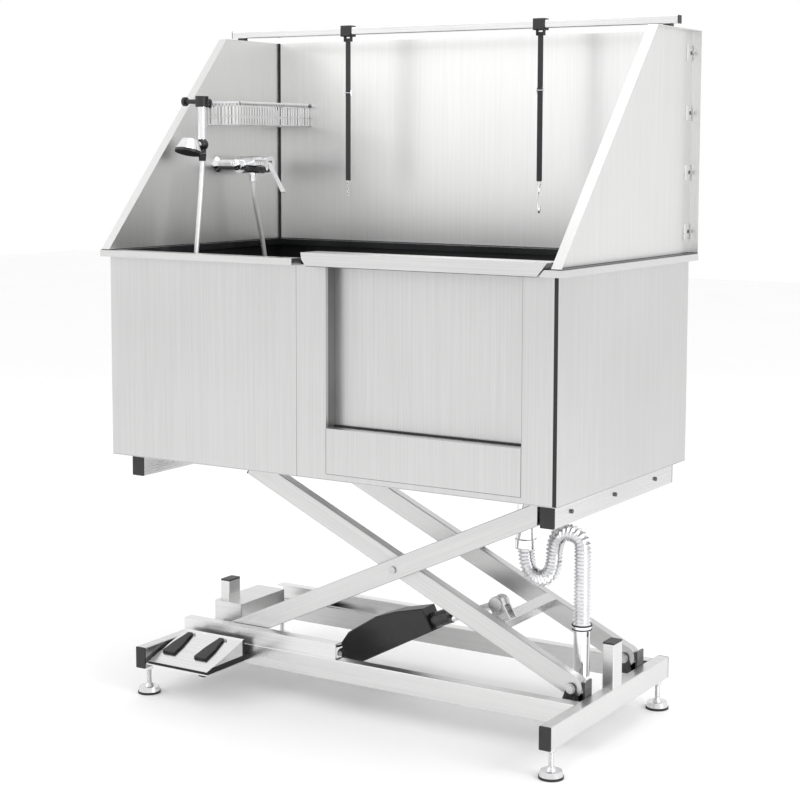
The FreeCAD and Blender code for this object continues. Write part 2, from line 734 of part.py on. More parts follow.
def rollers(position, ends):
    """A roller in each channel with its axle stub through the arm or lug."""
    wheels = []
    front_y = track_front + track_wall + 2
    rear_y = track_rear - track_wall - 2
    for wheel_y, direction, end in ((front_y, 1, ends[0]), (rear_y, -1, ends[1])):
        inner = wheel_y + roller_width * direction
        y0, y1 = sorted((wheel_y, inner))
        wheel = rod_y(position.x, position.z, y0, y1, roller_radius)
        y0, y1 = sorted((inner, end))
        stub = rod_y(position.x, position.z, y0, y1, axle_radius)
        wheels.append(wheel.fuse(stub).removeSplitter())
    return wheels


save("lower_rollers", *rollers(lower_roller, (outer_front + arm_width, outer_rear)))
save("upper_rollers", *rollers(upper_roller, (inner_front + arm_width / 2 + lug_width / 2,
                                              inner_rear + arm_width / 2 - lug_width / 2)))

# -------------------------------------------------------------- linear motor
motor_origin = Vector(motor_pivot[0], motor_y, motor_pivot[1])
ram_reach = math.hypot(crank_pin[0] - motor_pivot[0], crank_pin[1] - motor_pivot[1])
ram_angle = math.degrees(math.atan2(crank_pin[1] - motor_pivot[1], crank_pin[0] - motor_pivot[0]))


def on_ram(shape):
    """Moves a shape that was drawn along +X from the origin onto the motor's axis."""
    copy = shape.copy()
    copy.Placement = Placement(motor_origin, Rotation(Vector(0, 1, 0), -ram_angle))
    return copy


eye = rod((0, -10, 0), (0, 10, 0), 13)
eye = eye.fuse(block(0, housing_start + 2, -9, 9, -11, 11))
eye_bore = rod((0, -11, 0), (0, 11, 0), crank_pin_radius + running_fit)
housing_outline = [(housing_start, -14), (housing_start, 26), (54, 47), (150, 63), (212, 60),
                   (housing_end - 4, 46), (housing_end, -15), (62, -36)]
housing = prism_y(housing_outline, -housing_width / 2, housing_width / 2)
long_edges = [e for e in housing.Edges if abs(e.Vertexes[0].Y - e.Vertexes[1].Y) < 1]
housing = housing.makeChamfer(3, long_edges)
ram_bore = rod((ram_start - ram_travel, 0, 0), (ram_tube_end + 1, 0, 0), ram_radius + ram_fit)
housing = housing.fuse(eye).removeSplitter().cut([eye_bore, ram_bore])
save("gearbox_housing", on_ram(housing))
ram_tube = rod((housing_end, 0, ram_tube_rise), (ram_tube_end, 0, ram_tube_rise), ram_tube_radius)
save("motor_and_ram_tubes", on_ram(ram_tube.cut(ram_bore)))
ram = rod((ram_start, 0, 0), (ram_reach - 12, 0, 0), ram_radius)
fork = rounded_block(ram_reach - 24, ram_reach + 13, -crank_lug_gap + 1.5, crank_lug_gap - 1.5, -13, 13, 8,
                     Vector(0, 1, 0))
ram = ram.fuse(fork).removeSplitter()
ram_pin = rod((ram_reach, -crank_lug_gap - crank_lug - 6, 0), (ram_reach, crank_lug_gap + crank_lug + 6, 0),
              crank_pin_radius)
ram = ram.cut(ram_pin)
save("ram_rod", on_ram(ram))
for side in (-1, 1):
    near = side * (crank_lug_gap + crank_lug + 1)
    far = side * (crank_lug_gap + crank_lug + 4)
    washer_disc = rod((ram_reach, near, 0), (ram_reach, far, 0), crank_pin_radius + crank_slack + 4)
    ram_pin = ram_pin.fuse(washer_disc)
save("crank_pin", on_ram(ram_pin.removeSplitter()))

# ------------------------------------------------------- frame under the tub
bearer_bottom = tub_bottom - bearer_height
bearer_inner_left = bearer_left + bearer_width
bearer_inner_right = bearer_right - bearer_width
bearer_tubes = []
for x0 in (bearer_left, bearer_inner_right):
    bearer_tubes.append(box_tube(x0, x0 + bearer_width, -bearer_half_width, bearer_half_width,
                                 bearer_bottom, tub_bottom, tube_wall, Vector(0, 1, 0)))
upper_caps = end_caps(bearer_left, bearer_width, bearer_half_width, bearer_bottom, bearer_height)
upper_caps += end_caps(bearer_inner_right, bearer_width, bearer_half_width, bearer_bottom, bearer_height)
save("upper_tracks",
     channel(bearer_inner_left, bearer_inner_right, track_front, 1, upper_rail),
     channel(bearer_inner_left, bearer_inner_right, track_rear, -1, upper_rail))

hangers = []
hanger_bolts = []
for outer_y in outer_rows:
    middle = outer_y + arm_width / 2
    inside = lug_width / 2 + hanger_gap
    for side in (-1, 1):
        y0, y1 = sorted((middle + side * inside, middle + side * (inside + hanger_wall)))
        plate = block(upper_pivot.x - 22, upper_pivot.x + 22, y0, y1, upper_pivot.z, tub_bottom)
        plate = plate.fuse(rod_y(upper_pivot.x, upper_pivot.z, y0, y1, hanger_radius))
        hangers.append(plate.removeSplitter().cut(rod_y(upper_pivot.x, upper_pivot.z, y0 - 1, y1 + 1, axle_radius)))
    reach = inside + hanger_wall
    bolt = rod_y(upper_pivot.x, upper_pivot.z, middle - reach - 4, middle + reach + 4, axle_radius)
    for side in (-1, 1):
        y0, y1 = sorted((middle + side * reach, middle + side * (reach + 4)))
        bolt = bolt.fuse(rod_y(upper_pivot.x, upper_pivot.z, y0, y1, 10))
    hanger_bolts.append(bolt.removeSplitter())
save("tub_bearers", *bearer_tubes, *hangers)

# ------------------------------------------------------------- tub panels
floor_sheet = block(-half_length, half_length, -half_width, half_width, tub_bottom, floor_top)
floor_sheet = floor_sheet.cut(rod((drain_x, drain_y, tub_bottom - 1), (drain_x, drain_y, floor_top + 1),
                                  drain_tube_radius))
save("tub_floor", floor_sheet)
inner_x = half_length - sheet
save("tub_walls",
     block(-half_length, -inner_x, -half_width, half_width, floor_top, rim_bottom),
     block(inner_x, half_length, -half_width, half_width, floor_top, rim_bottom),
     block(-inner_x, inner_x, half_width - sheet, half_width, floor_top, rim_bottom),
     block(-inner_x, door_frame_left, -half_width, -half_width + sheet, floor_top, rim_bottom))

frame_back = -half_width + frame_depth
sill_z0 = tub_bottom + sill_bottom
sill_z1 = tub_bottom + sill_top


def door_post(x0, x1):
    post = block(x0, x1, -half_width, frame_back, floor_top, rim_bottom)
    return post.cut(block(x0 + frame_wall, x1 - frame_wall, -half_width + frame_wall, frame_back - frame_wall,
                          floor_top + frame_wall, rim_bottom - frame_wall))


left_post = door_post(door_frame_left, door_clear_left)
right_post = door_post(door_clear_right, door_frame_right)
sill = block(door_clear_left, door_clear_right, -half_width, frame_back, sill_z0, sill_z1)
sill = sill.cut(block(door_clear_left + frame_wall, door_clear_right - frame_wall, -half_width + frame_wall,
                      frame_back - frame_wall, sill_z0 + frame_wall, sill_z1 - frame_wall))
apron = block(door_clear_left, door_clear_right, -half_width, -half_width + sheet, floor_top, sill_z0)

door_front = frame_back + door_gap
door_back = door_front + door_sheet
guide_back = door_back + door_gap + guide_wall
guides = []
for edge, side in ((door_clear_left, -1), (door_clear_right, 1)):
    outer_x = edge + side * (door_overlap + door_gap + guide_wall)
    web_x = edge + side * (door_overlap + door_gap)
    lip_x = edge + side * guide_depth
    x0, x1 = sorted((outer_x, web_x))
    web = block(x0, x1, frame_back, guide_back, floor_top, rim_bottom)
    x0, x1 = sorted((outer_x, lip_x))
    lip = block(x0, x1, guide_back - guide_wall, guide_back, floor_top, rim_bottom)
    guides.append(web.fuse(lip).removeSplitter())
save("door_frame", left_post, right_post, sill, apron, *guides)
seal_top = block(door_clear_left, door_clear_right, frame_back - 5, frame_back, sill_z1, sill_z1 + 4)
corner_seal = block(door_frame_right, inner_x, -half_width + 1, -half_width + 1 + corner_seal_depth,
                    floor_top, rim_bottom)
save("door_seals", seal_top, corner_seal)


# ------------------------------------------------------------------- rim
def rim_bar(x0, x1, y0, y1):
    bar = block(x0, x1, y0, y1, rim_bottom, rim_top)
    return bar.cut(block(x0 + rim_wall, x1 - rim_wall, y0 + rim_wall, y1 - rim_wall,
                         rim_bottom + rim_wall, rim_top - rim_wall))


rim_inner = rim_x - rim_width
save("tub_rim",
     rim_bar(-rim_x, -rim_inner, -rim_y, rim_y),
     rim_bar(rim_inner, rim_x, -rim_y, rim_y),
     rim_bar(-rim_inner, rim_inner, rim_y - rim_width, rim_y),
     rim_bar(-rim_inner, door_frame_left, -rim_y, -rim_y + rim_width),
     prism_y([(cap_right - cap_slant + 2, rim_bottom), (rim_inner, rim_bottom), (rim_inner, rim_top),
              (cap_right - cap_slant + 2 + cap_slant * rim_height / cap_height, rim_top)],
             -rim_y, -rim_y + rim_width))

# -------------------------------------------------------------------- door
door_left = door_clear_left - door_overlap
door_right = door_clear_right + door_overlap
door_bottom = sill_z1 - door_overlap
cap_bottom = rim_bottom
cap_top = cap_bottom + cap_height
door_panel = block(door_left, door_right, door_front, door_back, door_bottom, cap_bottom)
save("door_panel", door_panel)
cap_middle = (cap_bottom + cap_top) / 2
cap_outer = [(cap_left + cap_chamfer, cap_bottom), (cap_right - cap_slant, cap_bottom),
             (cap_right, cap_top), (cap_left, cap_top), (cap_left + 2, cap_middle)]
cap_solid = prism_y(cap_outer, -cap_front_reach, door_back)
cap_hollow = prism_y([(cap_left + cap_chamfer + 2, cap_bottom + frame_wall),
                      (cap_right - cap_slant - 1, cap_bottom + frame_wall),
                      (cap_right - 6, cap_top - frame_wall), (cap_left + 3, cap_top - frame_wall),
                      (cap_left + 5, cap_middle)],
                     -cap_front_reach + frame_wall, door_back - frame_wall)
cap_solid = cap_solid.cut(cap_hollow)
save("door_cap", cap_solid)

# ---------------------------------------------------------- splash guards
guard_front_y = -rim_y + guard_front_inset - 4
guard_slope_top = guard_front_y + guard_top_setback
outline = [Vector(0, guard_front_y, rim_top), Vector(0, guard_back_reach, rim_top),
           Vector(0, guard_back_reach, guard_top), Vector(0, guard_slope_top, guard_top)]
guard_wire = Part.makePolygon(outline + outline[:1])
guard_slab = Part.Face(guard_wire).extrude(Vector(guard_flange, 0, 0))
inner_wire = guard_wire.makeOffset2D(-guard_sheet)
pocket = Part.Face(inner_wire).extrude(Vector(guard_flange, 0, 0))
pocket.translate(Vector(guard_sheet, 0, 0))
right_guard = guard_slab.cut(pocket)
right_guard.translate(Vector(wall_x, 0, 0))
left_guard = right_guard.mirror(Vector(0, 0, 0), Vector(1, 0, 0))
save("side_guards", left_guard, right_guard)
rear_guard = block(-wall_x, wall_x, rear_wall_y, guard_back_reach, rim_top, guard_top)
rear_guard = rear_guard.cut(block(-wall_x + guard_sheet, wall_x - guard_sheet, rear_wall_y + guard_sheet,
                                  guard_back_reach + 1, rim_top + guard_sheet, guard_top - guard_sheet))
save("rear_guard", rear_guard)

tub_bolts = list(hanger_bolts)
for y in frame_bolt_y:
    z = tub_bottom - bearer_height / 2
    for x0, side in ((bearer_right, 1), (bearer_left, -1)):
        tub_bolts.append(rod((x0, y, z), (x0 + side * frame_bolt_head, y, z), frame_bolt_radius))
guard_bolt_y = rear_wall_y + guard_flange / 2
for step in range(4):
    z = rim_top + 55 + step * (guard_height - 110) / 3
    for side in (-1, 1):
        outer_face = side * (wall_x + guard_sheet)
        tub_bolts.append(rod((outer_face, guard_bolt_y, z), (outer_face + side * 3, guard_bolt_y, z), 5))
save("tub_bolts", *tub_bolts)

# ---------------------------------------------------------- bar and tethers
bar_z = guard_top + bar_lift
bar_y0 = bar_y - bar_size / 2
bar_y1 = bar_y + bar_size / 2
save("tether_bar", box_tube(-bar_half, bar_half, bar_y0, bar_y1, bar_z, bar_z + bar_size, bar_wall,
                            Vector(1, 0, 0)))
for x0 in (-bar_half - bar_cap, bar_half):
    upper_caps.append(rounded_block(x0, x0 + bar_cap, bar_y0, bar_y1, bar_z, bar_z + bar_size,
                                    tube_corner, Vector(1, 0, 0)))
pad_x = wall_x + guard_flange / 2
for x in (-pad_x, pad_x):
    upper_caps.append(block(x - 10, x + 10, bar_y - 9, bar_y + 9, guard_top, bar_z))
save("upper_end_caps", *upper_caps)

slider_inner = bar_size / 2 + slider_fit
slider_outer = slider_inner + slider_wall
slider_z = bar_z + bar_size / 2
tether_names = ("left", "right")
for name, x, strap, clip in zip(tether_names, tether_x, strap_length, clip_length):
    x0 = x - slider_length / 2
    x1 = x + slider_length / 2
    slider = rounded_block(x0, x1, bar_y - slider_outer, bar_y + slider_outer, slider_z - slider_outer,
                           slider_z + slider_outer, 3, Vector(1, 0, 0))
    slider = slider.cut(block(x0 - 1, x1 + 1, bar_y - slider_inner, bar_y + slider_inner,
                              slider_z - slider_inner, slider_z + slider_inner))
    hang_z = slider_z - slider_outer
    strap_top = hang_z - 1
    for side in (-1, 1):
        near = x + side * (strap_width / 2 + 1)
        far = x + side * (strap_width / 2 + 4)
        ear = block(min(near, far), max(near, far), bar_y - 5, bar_y + 5, hang_z - slider_lug - 5, hang_z)
        slider = slider.fuse(ear)
    pivot_z = hang_z - slider_lug
    slider_pin = rod((x - strap_width / 2 - 4, bar_y, pivot_z), (x + strap_width / 2 + 4, bar_y, pivot_z), 2)
    save("tether_slider_" + name, slider.fuse(slider_pin).removeSplitter())
    strap_low = pivot_z - strap
    body = block(x - strap_width / 2, x + strap_width / 2, bar_y - strap_thickness / 2,
                 bar_y + strap_thickness / 2, strap_low, pivot_z - 2)
    loop = rod((x - strap_width / 2, bar_y, pivot_z), (x + strap_width / 2, bar_y, pivot_z), 4)
    body = body.fuse(loop)
    body = body.cut(rod((x - 12, bar_y, pivot_z), (x + 12, bar_y, pivot_z), 2 + running_fit))
    save("tether_strap_" + name, body.removeSplitter())
    buckle_z = pivot_z - buckle_drop
    buckle = block(x - 10, x + 10, bar_y - 3.5, bar_y + 3.5, buckle_z - 7, buckle_z + 7)
    slot = block(x - strap_width / 2 - 0.3, x + strap_width / 2 + 0.3, bar_y - strap_thickness / 2 - 0.3,
                 bar_y + strap_thickness / 2 + 0.3, buckle_z - 8, buckle_z + 8)
    ring = rounded_block(x - 5, x + 5, bar_y - 3, bar_y + 3, strap_low - clip, strap_low, 2, Vector(0, 0, 1))
    save("tether_hardware_" + name, buckle.cut(slot), ring)

# ------------------------------------------------------------------ basket
basket_x0 = wall_face
basket_x1 = basket_x0 + basket_depth
basket_y1 = basket_front + basket_length
basket_z1 = rim_top + basket_top
basket_z0 = basket_z1 - basket_height
basket = block(basket_x0, basket_x1, basket_front, basket_y1, basket_z0, basket_z1)
basket = basket.cut(block(basket_x0 + basket_wall, basket_x1 - basket_wall, basket_front + basket_wall,
                          basket_y1 - basket_wall, basket_z0 + basket_wall, basket_z1 + 1))
save("wash_basket", basket)

# ------------------------------------------------------------------- mixer tap
body = rod((mixer_x, mixer_y - mixer_half, mixer_z), (mixer_x, mixer_y + mixer_half, mixer_z), mixer_radius)
for side in (-1, 1):
    y = mixer_y + side * inlet_pitch / 2
    end_y = mixer_y + side * mixer_half
    body = body.fuse(rod((wall_face + rose_height, y, mixer_z), (mixer_x, y, mixer_z), inlet_radius + 4))
    body = body.fuse(Part.makeSphere(inlet_radius + 5, Vector(mixer_x, y, mixer_z)))
    body = body.fuse(rod((mixer_x, end_y, mixer_z), (mixer_x, y, mixer_z), inlet_radius + 3))
valve_x = mixer_x + valve_length
body = body.fuse(rod((mixer_x, mixer_y, mixer_z), (valve_x, mixer_y, mixer_z), valve_radius))
body = body.fuse(rod((mixer_x, mixer_y, mixer_z), (mixer_x, mixer_y, spout_z), spout_radius + 3))
roses = []
for side in (-1, 1):
    y = mixer_y + side * inlet_pitch / 2
    roses.append(Part.makeCone(rose_radius, rose_radius - 8, rose_height, Vector(wall_face, y, mixer_z),
                               Vector(1, 0, 0)))
save("mixer_body", body.removeSplitter(), *roses)
cap_x0 = valve_x + 0.5
cap_x1 = cap_x0 + valve_cap
lever_pivot = Vector(cap_x0 + valve_cap - lever_thickness / 2, mixer_y, mixer_z)
slot_half = lever_width / 2 + 1
mixer_cap = rod((cap_x0, mixer_y, mixer_z), (cap_x1, mixer_y, mixer_z), valve_radius - 1)
mixer_cap = mixer_cap.cut(block(cap_x0 + 4, cap_x1 + 1, mixer_y - slot_half, mixer_y + slot_half,
                                mixer_z - valve_radius, mixer_z + 12))
mixer_cap = mixer_cap.fuse(rod((lever_pivot.x, mixer_y - slot_half - 2, mixer_z),
                               (lever_pivot.x, mixer_y + slot_half + 2, mixer_z), lever_pin_radius))
save("mixer_cap", mixer_cap.removeSplitter())
lever = block(lever_pivot.x - lever_thickness / 2, lever_pivot.x + lever_thickness / 2,
              mixer_y - lever_width / 2, mixer_y + lever_width / 2, mixer_z - lever_length, mixer_z + 8)
lever.rotate(lever_pivot, Vector(0, 1, 0), -lever_lean)
lever = lever.cut(rod((lever_pivot.x, mixer_y - slot_half, mixer_z), (lever_pivot.x, mixer_y + slot_half, mixer_z),
                      lever_pin_radius + running_fit))
save("mixer_lever", lever)

# -------------------------------------------------------- shower handset
bracket = rod((wall_face, holder_y, holder_z), (wall_face + 8, holder_y, holder_z), 12)
bracket = bracket.fuse(rod((wall_face, holder_y, holder_z), (holder_x - 8, holder_y, holder_z), 6))
bracket = bracket.fuse(rod((holder_x, holder_y, holder_z - 14), (holder_x, holder_y, holder_z + 14), 17))
bracket = bracket.cut(rod((holder_x, holder_y, holder_z - 15), (holder_x, holder_y, holder_z + 15),
                          handle_radius + 0.4))
bracket = bracket.cut(block(holder_x, holder_x + 20, holder_y - 6, holder_y + 6, holder_z - 15, holder_z + 15))
knob = rod((holder_x, holder_y + 17, holder_z), (holder_x, holder_y + 32, holder_z), 8)
save("shower_holder", bracket.removeSplitter(), knob)

handle = rod((holder_x, holder_y, elbow_z + elbow_radius - 2), (holder_x, holder_y, handle_top), handle_radius)
elbow = Part.makeSphere(elbow_radius, Vector(holder_x, holder_y, elbow_z))
elbow = elbow.cut(handle)
elbow = elbow.fuse(rod((holder_x, holder_y, elbow_z), (holder_x, holder_y, nozzle_end), hose_radius + 3))
elbow = elbow.cut(handle)
elbow = elbow.removeSplitter()
tilt = math.radians(head_tilt)
spray_axis = Vector(0, -math.sin(tilt), -math.cos(tilt))
head_at = Vector(holder_x, holder_y - elbow_radius - head_radius - 2, elbow_z - 2)
head = Part.makeCone(head_radius * 0.62, head_radius, head_height, head_at - spray_axis * head_height / 2, spray_axis)
neck = rod((holder_x, holder_y - elbow_radius + 1, elbow_z), tuple(head_at), 9)
head = head.fuse(neck).removeSplitter()
head = head.cut(elbow)
save("shower_handset", handle, head)
face_at = head_at + spray_axis * head_height / 2
save("shower_elbow", elbow, Part.makeCylinder(head_radius, 7, face_at, spray_axis))
save("shower_hose", cord("shower_hose", shower_route, hose_radius))

# -------------------------------------------------------------------- drain
flange = rod((drain_x, drain_y, floor_top), (drain_x, drain_y, floor_top + drain_flange), drain_flange_radius)
pipe = rod((drain_x, drain_y, drain_tube_bottom), (drain_x, drain_y, floor_top + 1), drain_tube_radius)
fitting = flange.fuse(pipe).removeSplitter()
fitting = fitting.cut(rod((drain_x, drain_y, drain_tube_bottom - 1),
                          (drain_x, drain_y, floor_top + drain_flange + 1), drain_bore))
save("drain_fitting", fitting)
plug_z = floor_top + drain_flange
plug = rod((drain_x, drain_y, plug_z - plug_height), (drain_x, drain_y, plug_z), plug_radius)
plug = plug.fuse(rod((drain_x, drain_y, plug_z), (drain_x, drain_y, plug_z + 3), plug_radius + 6))
plug = plug.fuse(rod((drain_x, drain_y, plug_z), (drain_x, drain_y, plug_z + knob_height), knob_radius))
save("drain_plug", plug.removeSplitter())
save("waste_hose", cord("waste_hose", waste_route, waste_hose_radius))
waste = rod((waste_pipe_x, drain_y, waste_pipe_bottom), (waste_pipe_x, drain_y, waste_pipe_top),
            waste_pipe_radius)
cuff = rod((waste_pipe_x, drain_y, waste_pipe_top - waste_cuff), (waste_pipe_x, drain_y, waste_pipe_top),
           waste_hose_radius + 1)
waste = waste.fuse(cuff).removeSplitter()
waste = waste.cut(rod((waste_pipe_x, drain_y, waste_pipe_bottom - 1),
                      (waste_pipe_x, drain_y, waste_pipe_top + 1), waste_pipe_radius - waste_pipe_wall))
save("waste_pipe", waste)
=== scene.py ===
# %% [markdown]
# # A dog bath on a motor-driven scissor lift
# The bath is a steel tub with a lift-up door, splash guards, a tap and a hand shower.
# The frame is the measured CAD model: it is loaded first and nothing in it is moved.
# Every cell after that gives it finishes, or adds a piece that CAD only held a place for.

# %% Load the measured frame
import math
import bmesh
import bpy
from mathutils import Matrix, Vector


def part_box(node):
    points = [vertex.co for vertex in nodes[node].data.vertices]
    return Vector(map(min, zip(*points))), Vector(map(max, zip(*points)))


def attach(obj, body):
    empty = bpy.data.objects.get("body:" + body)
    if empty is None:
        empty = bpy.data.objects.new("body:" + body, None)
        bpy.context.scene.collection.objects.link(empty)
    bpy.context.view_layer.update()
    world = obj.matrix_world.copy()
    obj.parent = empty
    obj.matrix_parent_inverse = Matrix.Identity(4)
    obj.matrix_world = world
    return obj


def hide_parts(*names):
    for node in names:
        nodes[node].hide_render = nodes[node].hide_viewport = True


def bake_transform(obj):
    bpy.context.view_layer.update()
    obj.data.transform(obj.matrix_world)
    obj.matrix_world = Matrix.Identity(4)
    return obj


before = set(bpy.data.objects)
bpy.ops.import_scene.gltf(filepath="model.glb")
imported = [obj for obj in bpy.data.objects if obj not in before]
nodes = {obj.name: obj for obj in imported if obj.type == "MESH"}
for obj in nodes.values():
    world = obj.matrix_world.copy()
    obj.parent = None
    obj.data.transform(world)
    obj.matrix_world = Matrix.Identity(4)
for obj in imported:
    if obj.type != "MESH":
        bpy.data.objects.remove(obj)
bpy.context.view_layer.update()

print("parts in the frame:", len(nodes))

# %% [markdown]
# ## The camera
# The bath is seen from a little over tub height, turned so that its drain end shows.
# A camera can be aimed with a Track To constraint, but three plain turns are easier to keep.
# The lens is shifted a little down, which keeps the upright edges almost parallel.
# Angles are in degrees, and the lens and sensor are in millimetres.

# %% Place the camera
CAMERA_PLACE = (2.3448, -3.6805, 1.4110)
TURN_LEFT = 31.101
LOOK_DOWN = 5.658
ROLL = 0.275
LENS = 78.52
SENSOR = 36.0
LENS_SHIFT = (-0.05, -0.10)

camera_data = bpy.data.cameras.new("catalogue_camera")
camera_data.lens = LENS
camera_data.sensor_width = SENSOR
camera_data.shift_x, camera_data.shift_y = LENS_SHIFT
camera = bpy.data.objects.new("catalogue_camera", camera_data)
bpy.context.collection.objects.link(camera)
turn = Matrix.Rotation(math.radians(TURN_LEFT), 4, "Z")
tip = Matrix.Rotation(math.radians(90 - LOOK_DOWN), 4, "X")
roll = Matrix.Rotation(math.radians(ROLL), 4, "Z")
camera.matrix_world = Matrix.Translation(CAMERA_PLACE) @ turn @ tip @ roll
bpy.context.scene.camera = camera
print("camera at", [round(v, 3) for v in camera.matrix_world.translation])

# %% [markdown]
# ## Routes of the hoses and cables
# A hose is one smooth line that is thickened later. NURBS suits it, because the curve stays
# inside its control points and never wiggles. The points are laid along each route.
# The order is set after the points, or the spline would keep straight runs.

# %% Draw the routes
ROUTES = {
    "waste_hose_line": [
        (0.372, 0, 0.452), (0.372, 0, 0.373), (0.450, 0, 0.373),
        (0.450, 0, 0.493), (0.526, 0, 0.493), (0.526, 0, 0.419), (0.526, 0, 0.275),
    ],
    "shower_hose_line": [
        (-0.563, 0.148, 1.3327), (-0.563, 0.148, 1.2877), (-0.561, 0.164, 1.2227),
        (-0.558, 0.186, 1.1427), (-0.554, 0.206, 1.0177), (-0.551, 0.208, 0.8927),
        (-0.549, 0.150, 0.7707), (-0.549, 0.038, 0.7327), (-0.550, -0.070, 0.7667),
        (-0.554, -0.128, 0.8707), (-0.558, -0.125, 0.9907), (-0.561, -0.104, 1.1127),
        (-0.563, -0.070, 1.3442), (-0.563, -0.070, 1.3922),
    ],
    "pedal_cable": [
        (-0.470, -0.232, 0.085), (-0.471, -0.228, 0.052), (-0.476, -0.192, 0.030),
        (-0.486, -0.140, 0.027), (-0.497, -0.084, 0.035), (-0.505, -0.034, 0.060),
        (-0.506, 0.002, 0.093), (-0.506, 0.008, 0.127),
    ],
    "motor_cable": [
        (-0.486, 0.020, 0.137), (-0.462, 0.019, 0.135), (-0.418, 0.000, 0.121),
        (-0.350, -0.030, 0.110), (-0.285, -0.046, 0.104), (-0.225, -0.040, 0.106),
        (-0.1684, -0.020, 0.1169), (-0.138, -0.020, 0.1298),
    ],
}


def draw_route(name):
    """A smooth line through space whose control points are the route's points."""
    curve = bpy.data.curves.new(name, "CURVE")
    curve.dimensions = "3D"
    curve.resolution_u = 24
    spline = curve.splines.new("NURBS")
    spline.points.add(len(ROUTES[name]) - 1)
    for point, place in zip(spline.points, ROUTES[name]):
        point.co = (*place, 1.0)
    spline.order_u = 3
    spline.use_endpoint_u = True
    line = bpy.data.objects.new(name, curve)
    bpy.context.collection.objects.link(line)
    return line


def read_line(line):
    """The points that the finished spline runs through."""
    bpy.context.view_layer.update()
    mesh = bpy.data.meshes.new_from_object(line)
    places = [v.co.copy() for v in mesh.vertices]
    bpy.data.meshes.remove(mesh)
    return places


def line_length(places):
    return sum((b - a).length for a, b in zip(places, places[1:]))


routes = {name: draw_route(name) for name in ROUTES}
for name, line in routes.items():
    print(name, "length", round(line_length(read_line(line)), 3))

# %% [markdown]
# ## Sums on shader sockets
# A finish needs many small sums: lines along the grain, cloudy wear, masks for edges.
# They can be wired by hand in the editor. Here a small class wraps a socket, so that
# `cloud * 0.2 + 0.5` adds the two Math nodes by itself.

# %% A socket that takes part in sums
class Link:
    """An output socket of a shader tree."""

    def __init__(self, tree, socket):
        self.tree = tree
        self.socket = socket

    def math(self, operation, *values):
        node = self.tree.nodes.new("ShaderNodeMath")
        node.operation = operation
        for slot, value in zip(node.inputs, values):
            if isinstance(value, Link):
                self.tree.links.new(value.socket, slot)
            else:
                slot.default_value = value
        return Link(self.tree, node.outputs[0])

    def __add__(self, other):
        return self.math("ADD", self, other)

    def __sub__(self, other):
        return self.math("SUBTRACT", self, other)

    def __rsub__(self, other):
        return self.math("SUBTRACT", other, self)

    def __mul__(self, other):
        return self.math("MULTIPLY", self, other)

    def __gt__(self, other):
        return self.math("GREATER_THAN", self, other)

    def __lt__(self, other):
        return self.math("LESS_THAN", self, other)

    __radd__ = __add__
    __rmul__ = __mul__

    def between(self, low, high):
        """0 below low, 1 above high, and smooth from one to the other."""
        node = self.tree.nodes.new("ShaderNodeMapRange")
        node.interpolation_type = "SMOOTHSTEP"
        self.tree.links.new(self.socket, node.inputs["Value"])
        node.inputs["From Min"].default_value = low
        node.inputs["From Max"].default_value = high
        return Link(self.tree, node.outputs["Result"])


print("sums ready")

# %% [markdown]
# ## A finish and its nodes
# A finish is one Principled shader. Numbers that are the same all over go straight on its
# sockets. What changes over the surface is wired in: colour, roughness and fine relief.
# All patterns read Object coordinates, so they are in metres and stay put on the part.

# %% The finish class
class Finish:
    """One material with helpers to add and wire its nodes."""

    def __init__(self, name, **constants):
        self.material = bpy.data.materials.new(name)
        self.material.use_nodes = True
        self.tree = self.material.node_tree
        self.shader = self.tree.nodes["Principled BSDF"]
        for key, value in constants.items():
            self.shader.inputs[key.replace("_", " ")].default_value = value

    def add(self, kind, settings=None, sockets=None, output=0):
        """Adds a node: settings first, then the values or links of its sockets."""
        node = self.tree.nodes.new("ShaderNode" + kind)
        for key, value in (settings or {}).items():
            setattr(node, key, value)
        for key, value in (sockets or {}).items():
            if isinstance(value, Link):
                self.tree.links.new(value.socket, node.inputs[key])
            else:
                node.inputs[key].default_value = value
        return Link(self.tree, node.outputs[output])

    def place(self):
        return self.add("TexCoord", output="Object")

    def axes(self):
        """The x, y and z of a point, as three links."""
        split = self.tree.nodes.new("ShaderNodeSeparateXYZ")
        self.tree.links.new(self.place().socket, split.inputs[0])
        return [Link(self.tree, socket) for socket in split.outputs]

    def noise(self, scale, detail=3.0, stretch=(1, 1, 1), tilt=0.0, roughness=0.5):
        """Noise whose pattern is stretched along an axis and tilted about Y."""
        turned = self.add("Mapping", {}, {"Vector": self.place(),
                                          "Rotation": (0, math.radians(tilt), 0)})
        scaled = self.add("Mapping", {}, {"Vector": turned, "Scale": stretch})
        return self.add("TexNoise", {}, {"Vector": scaled, "Scale": scale, "Detail": detail,
                                         "Roughness": roughness})

    def mix(self, factor, first, second):
        """Blends two colours by a factor."""
        node = self.tree.nodes.new("ShaderNodeMix")
        node.data_type = "RGBA"
        for key, value in ((0, factor), (6, first), (7, second)):
            if isinstance(value, Link):
                self.tree.links.new(value.socket, node.inputs[key])
            else:
                node.inputs[key].default_value = value if key == 0 else (*value, 1.0)
        return Link(self.tree, node.outputs[2])

    def wire(self, **links):
        for key, link in links.items():
            self.tree.links.new(link.socket, self.shader.inputs[key.replace("_", " ")])
        return self

    def relief(self, height, strength, depth):
        bump = self.add("Bump", {}, {"Height": height, "Strength": strength, "Distance": depth})
        return self.wire(Normal=bump)


print("finish helper ready")

# %% [markdown]
# ## Brushed and satin steel
# Stainless sheet leaves the mill with a fine grain that runs one way. Real grain is thousands
# of scratches; noise that is squeezed across the grain and stretched along it gives the same
# streaks. A second, cloudy noise stands for finger marks and uneven polish.

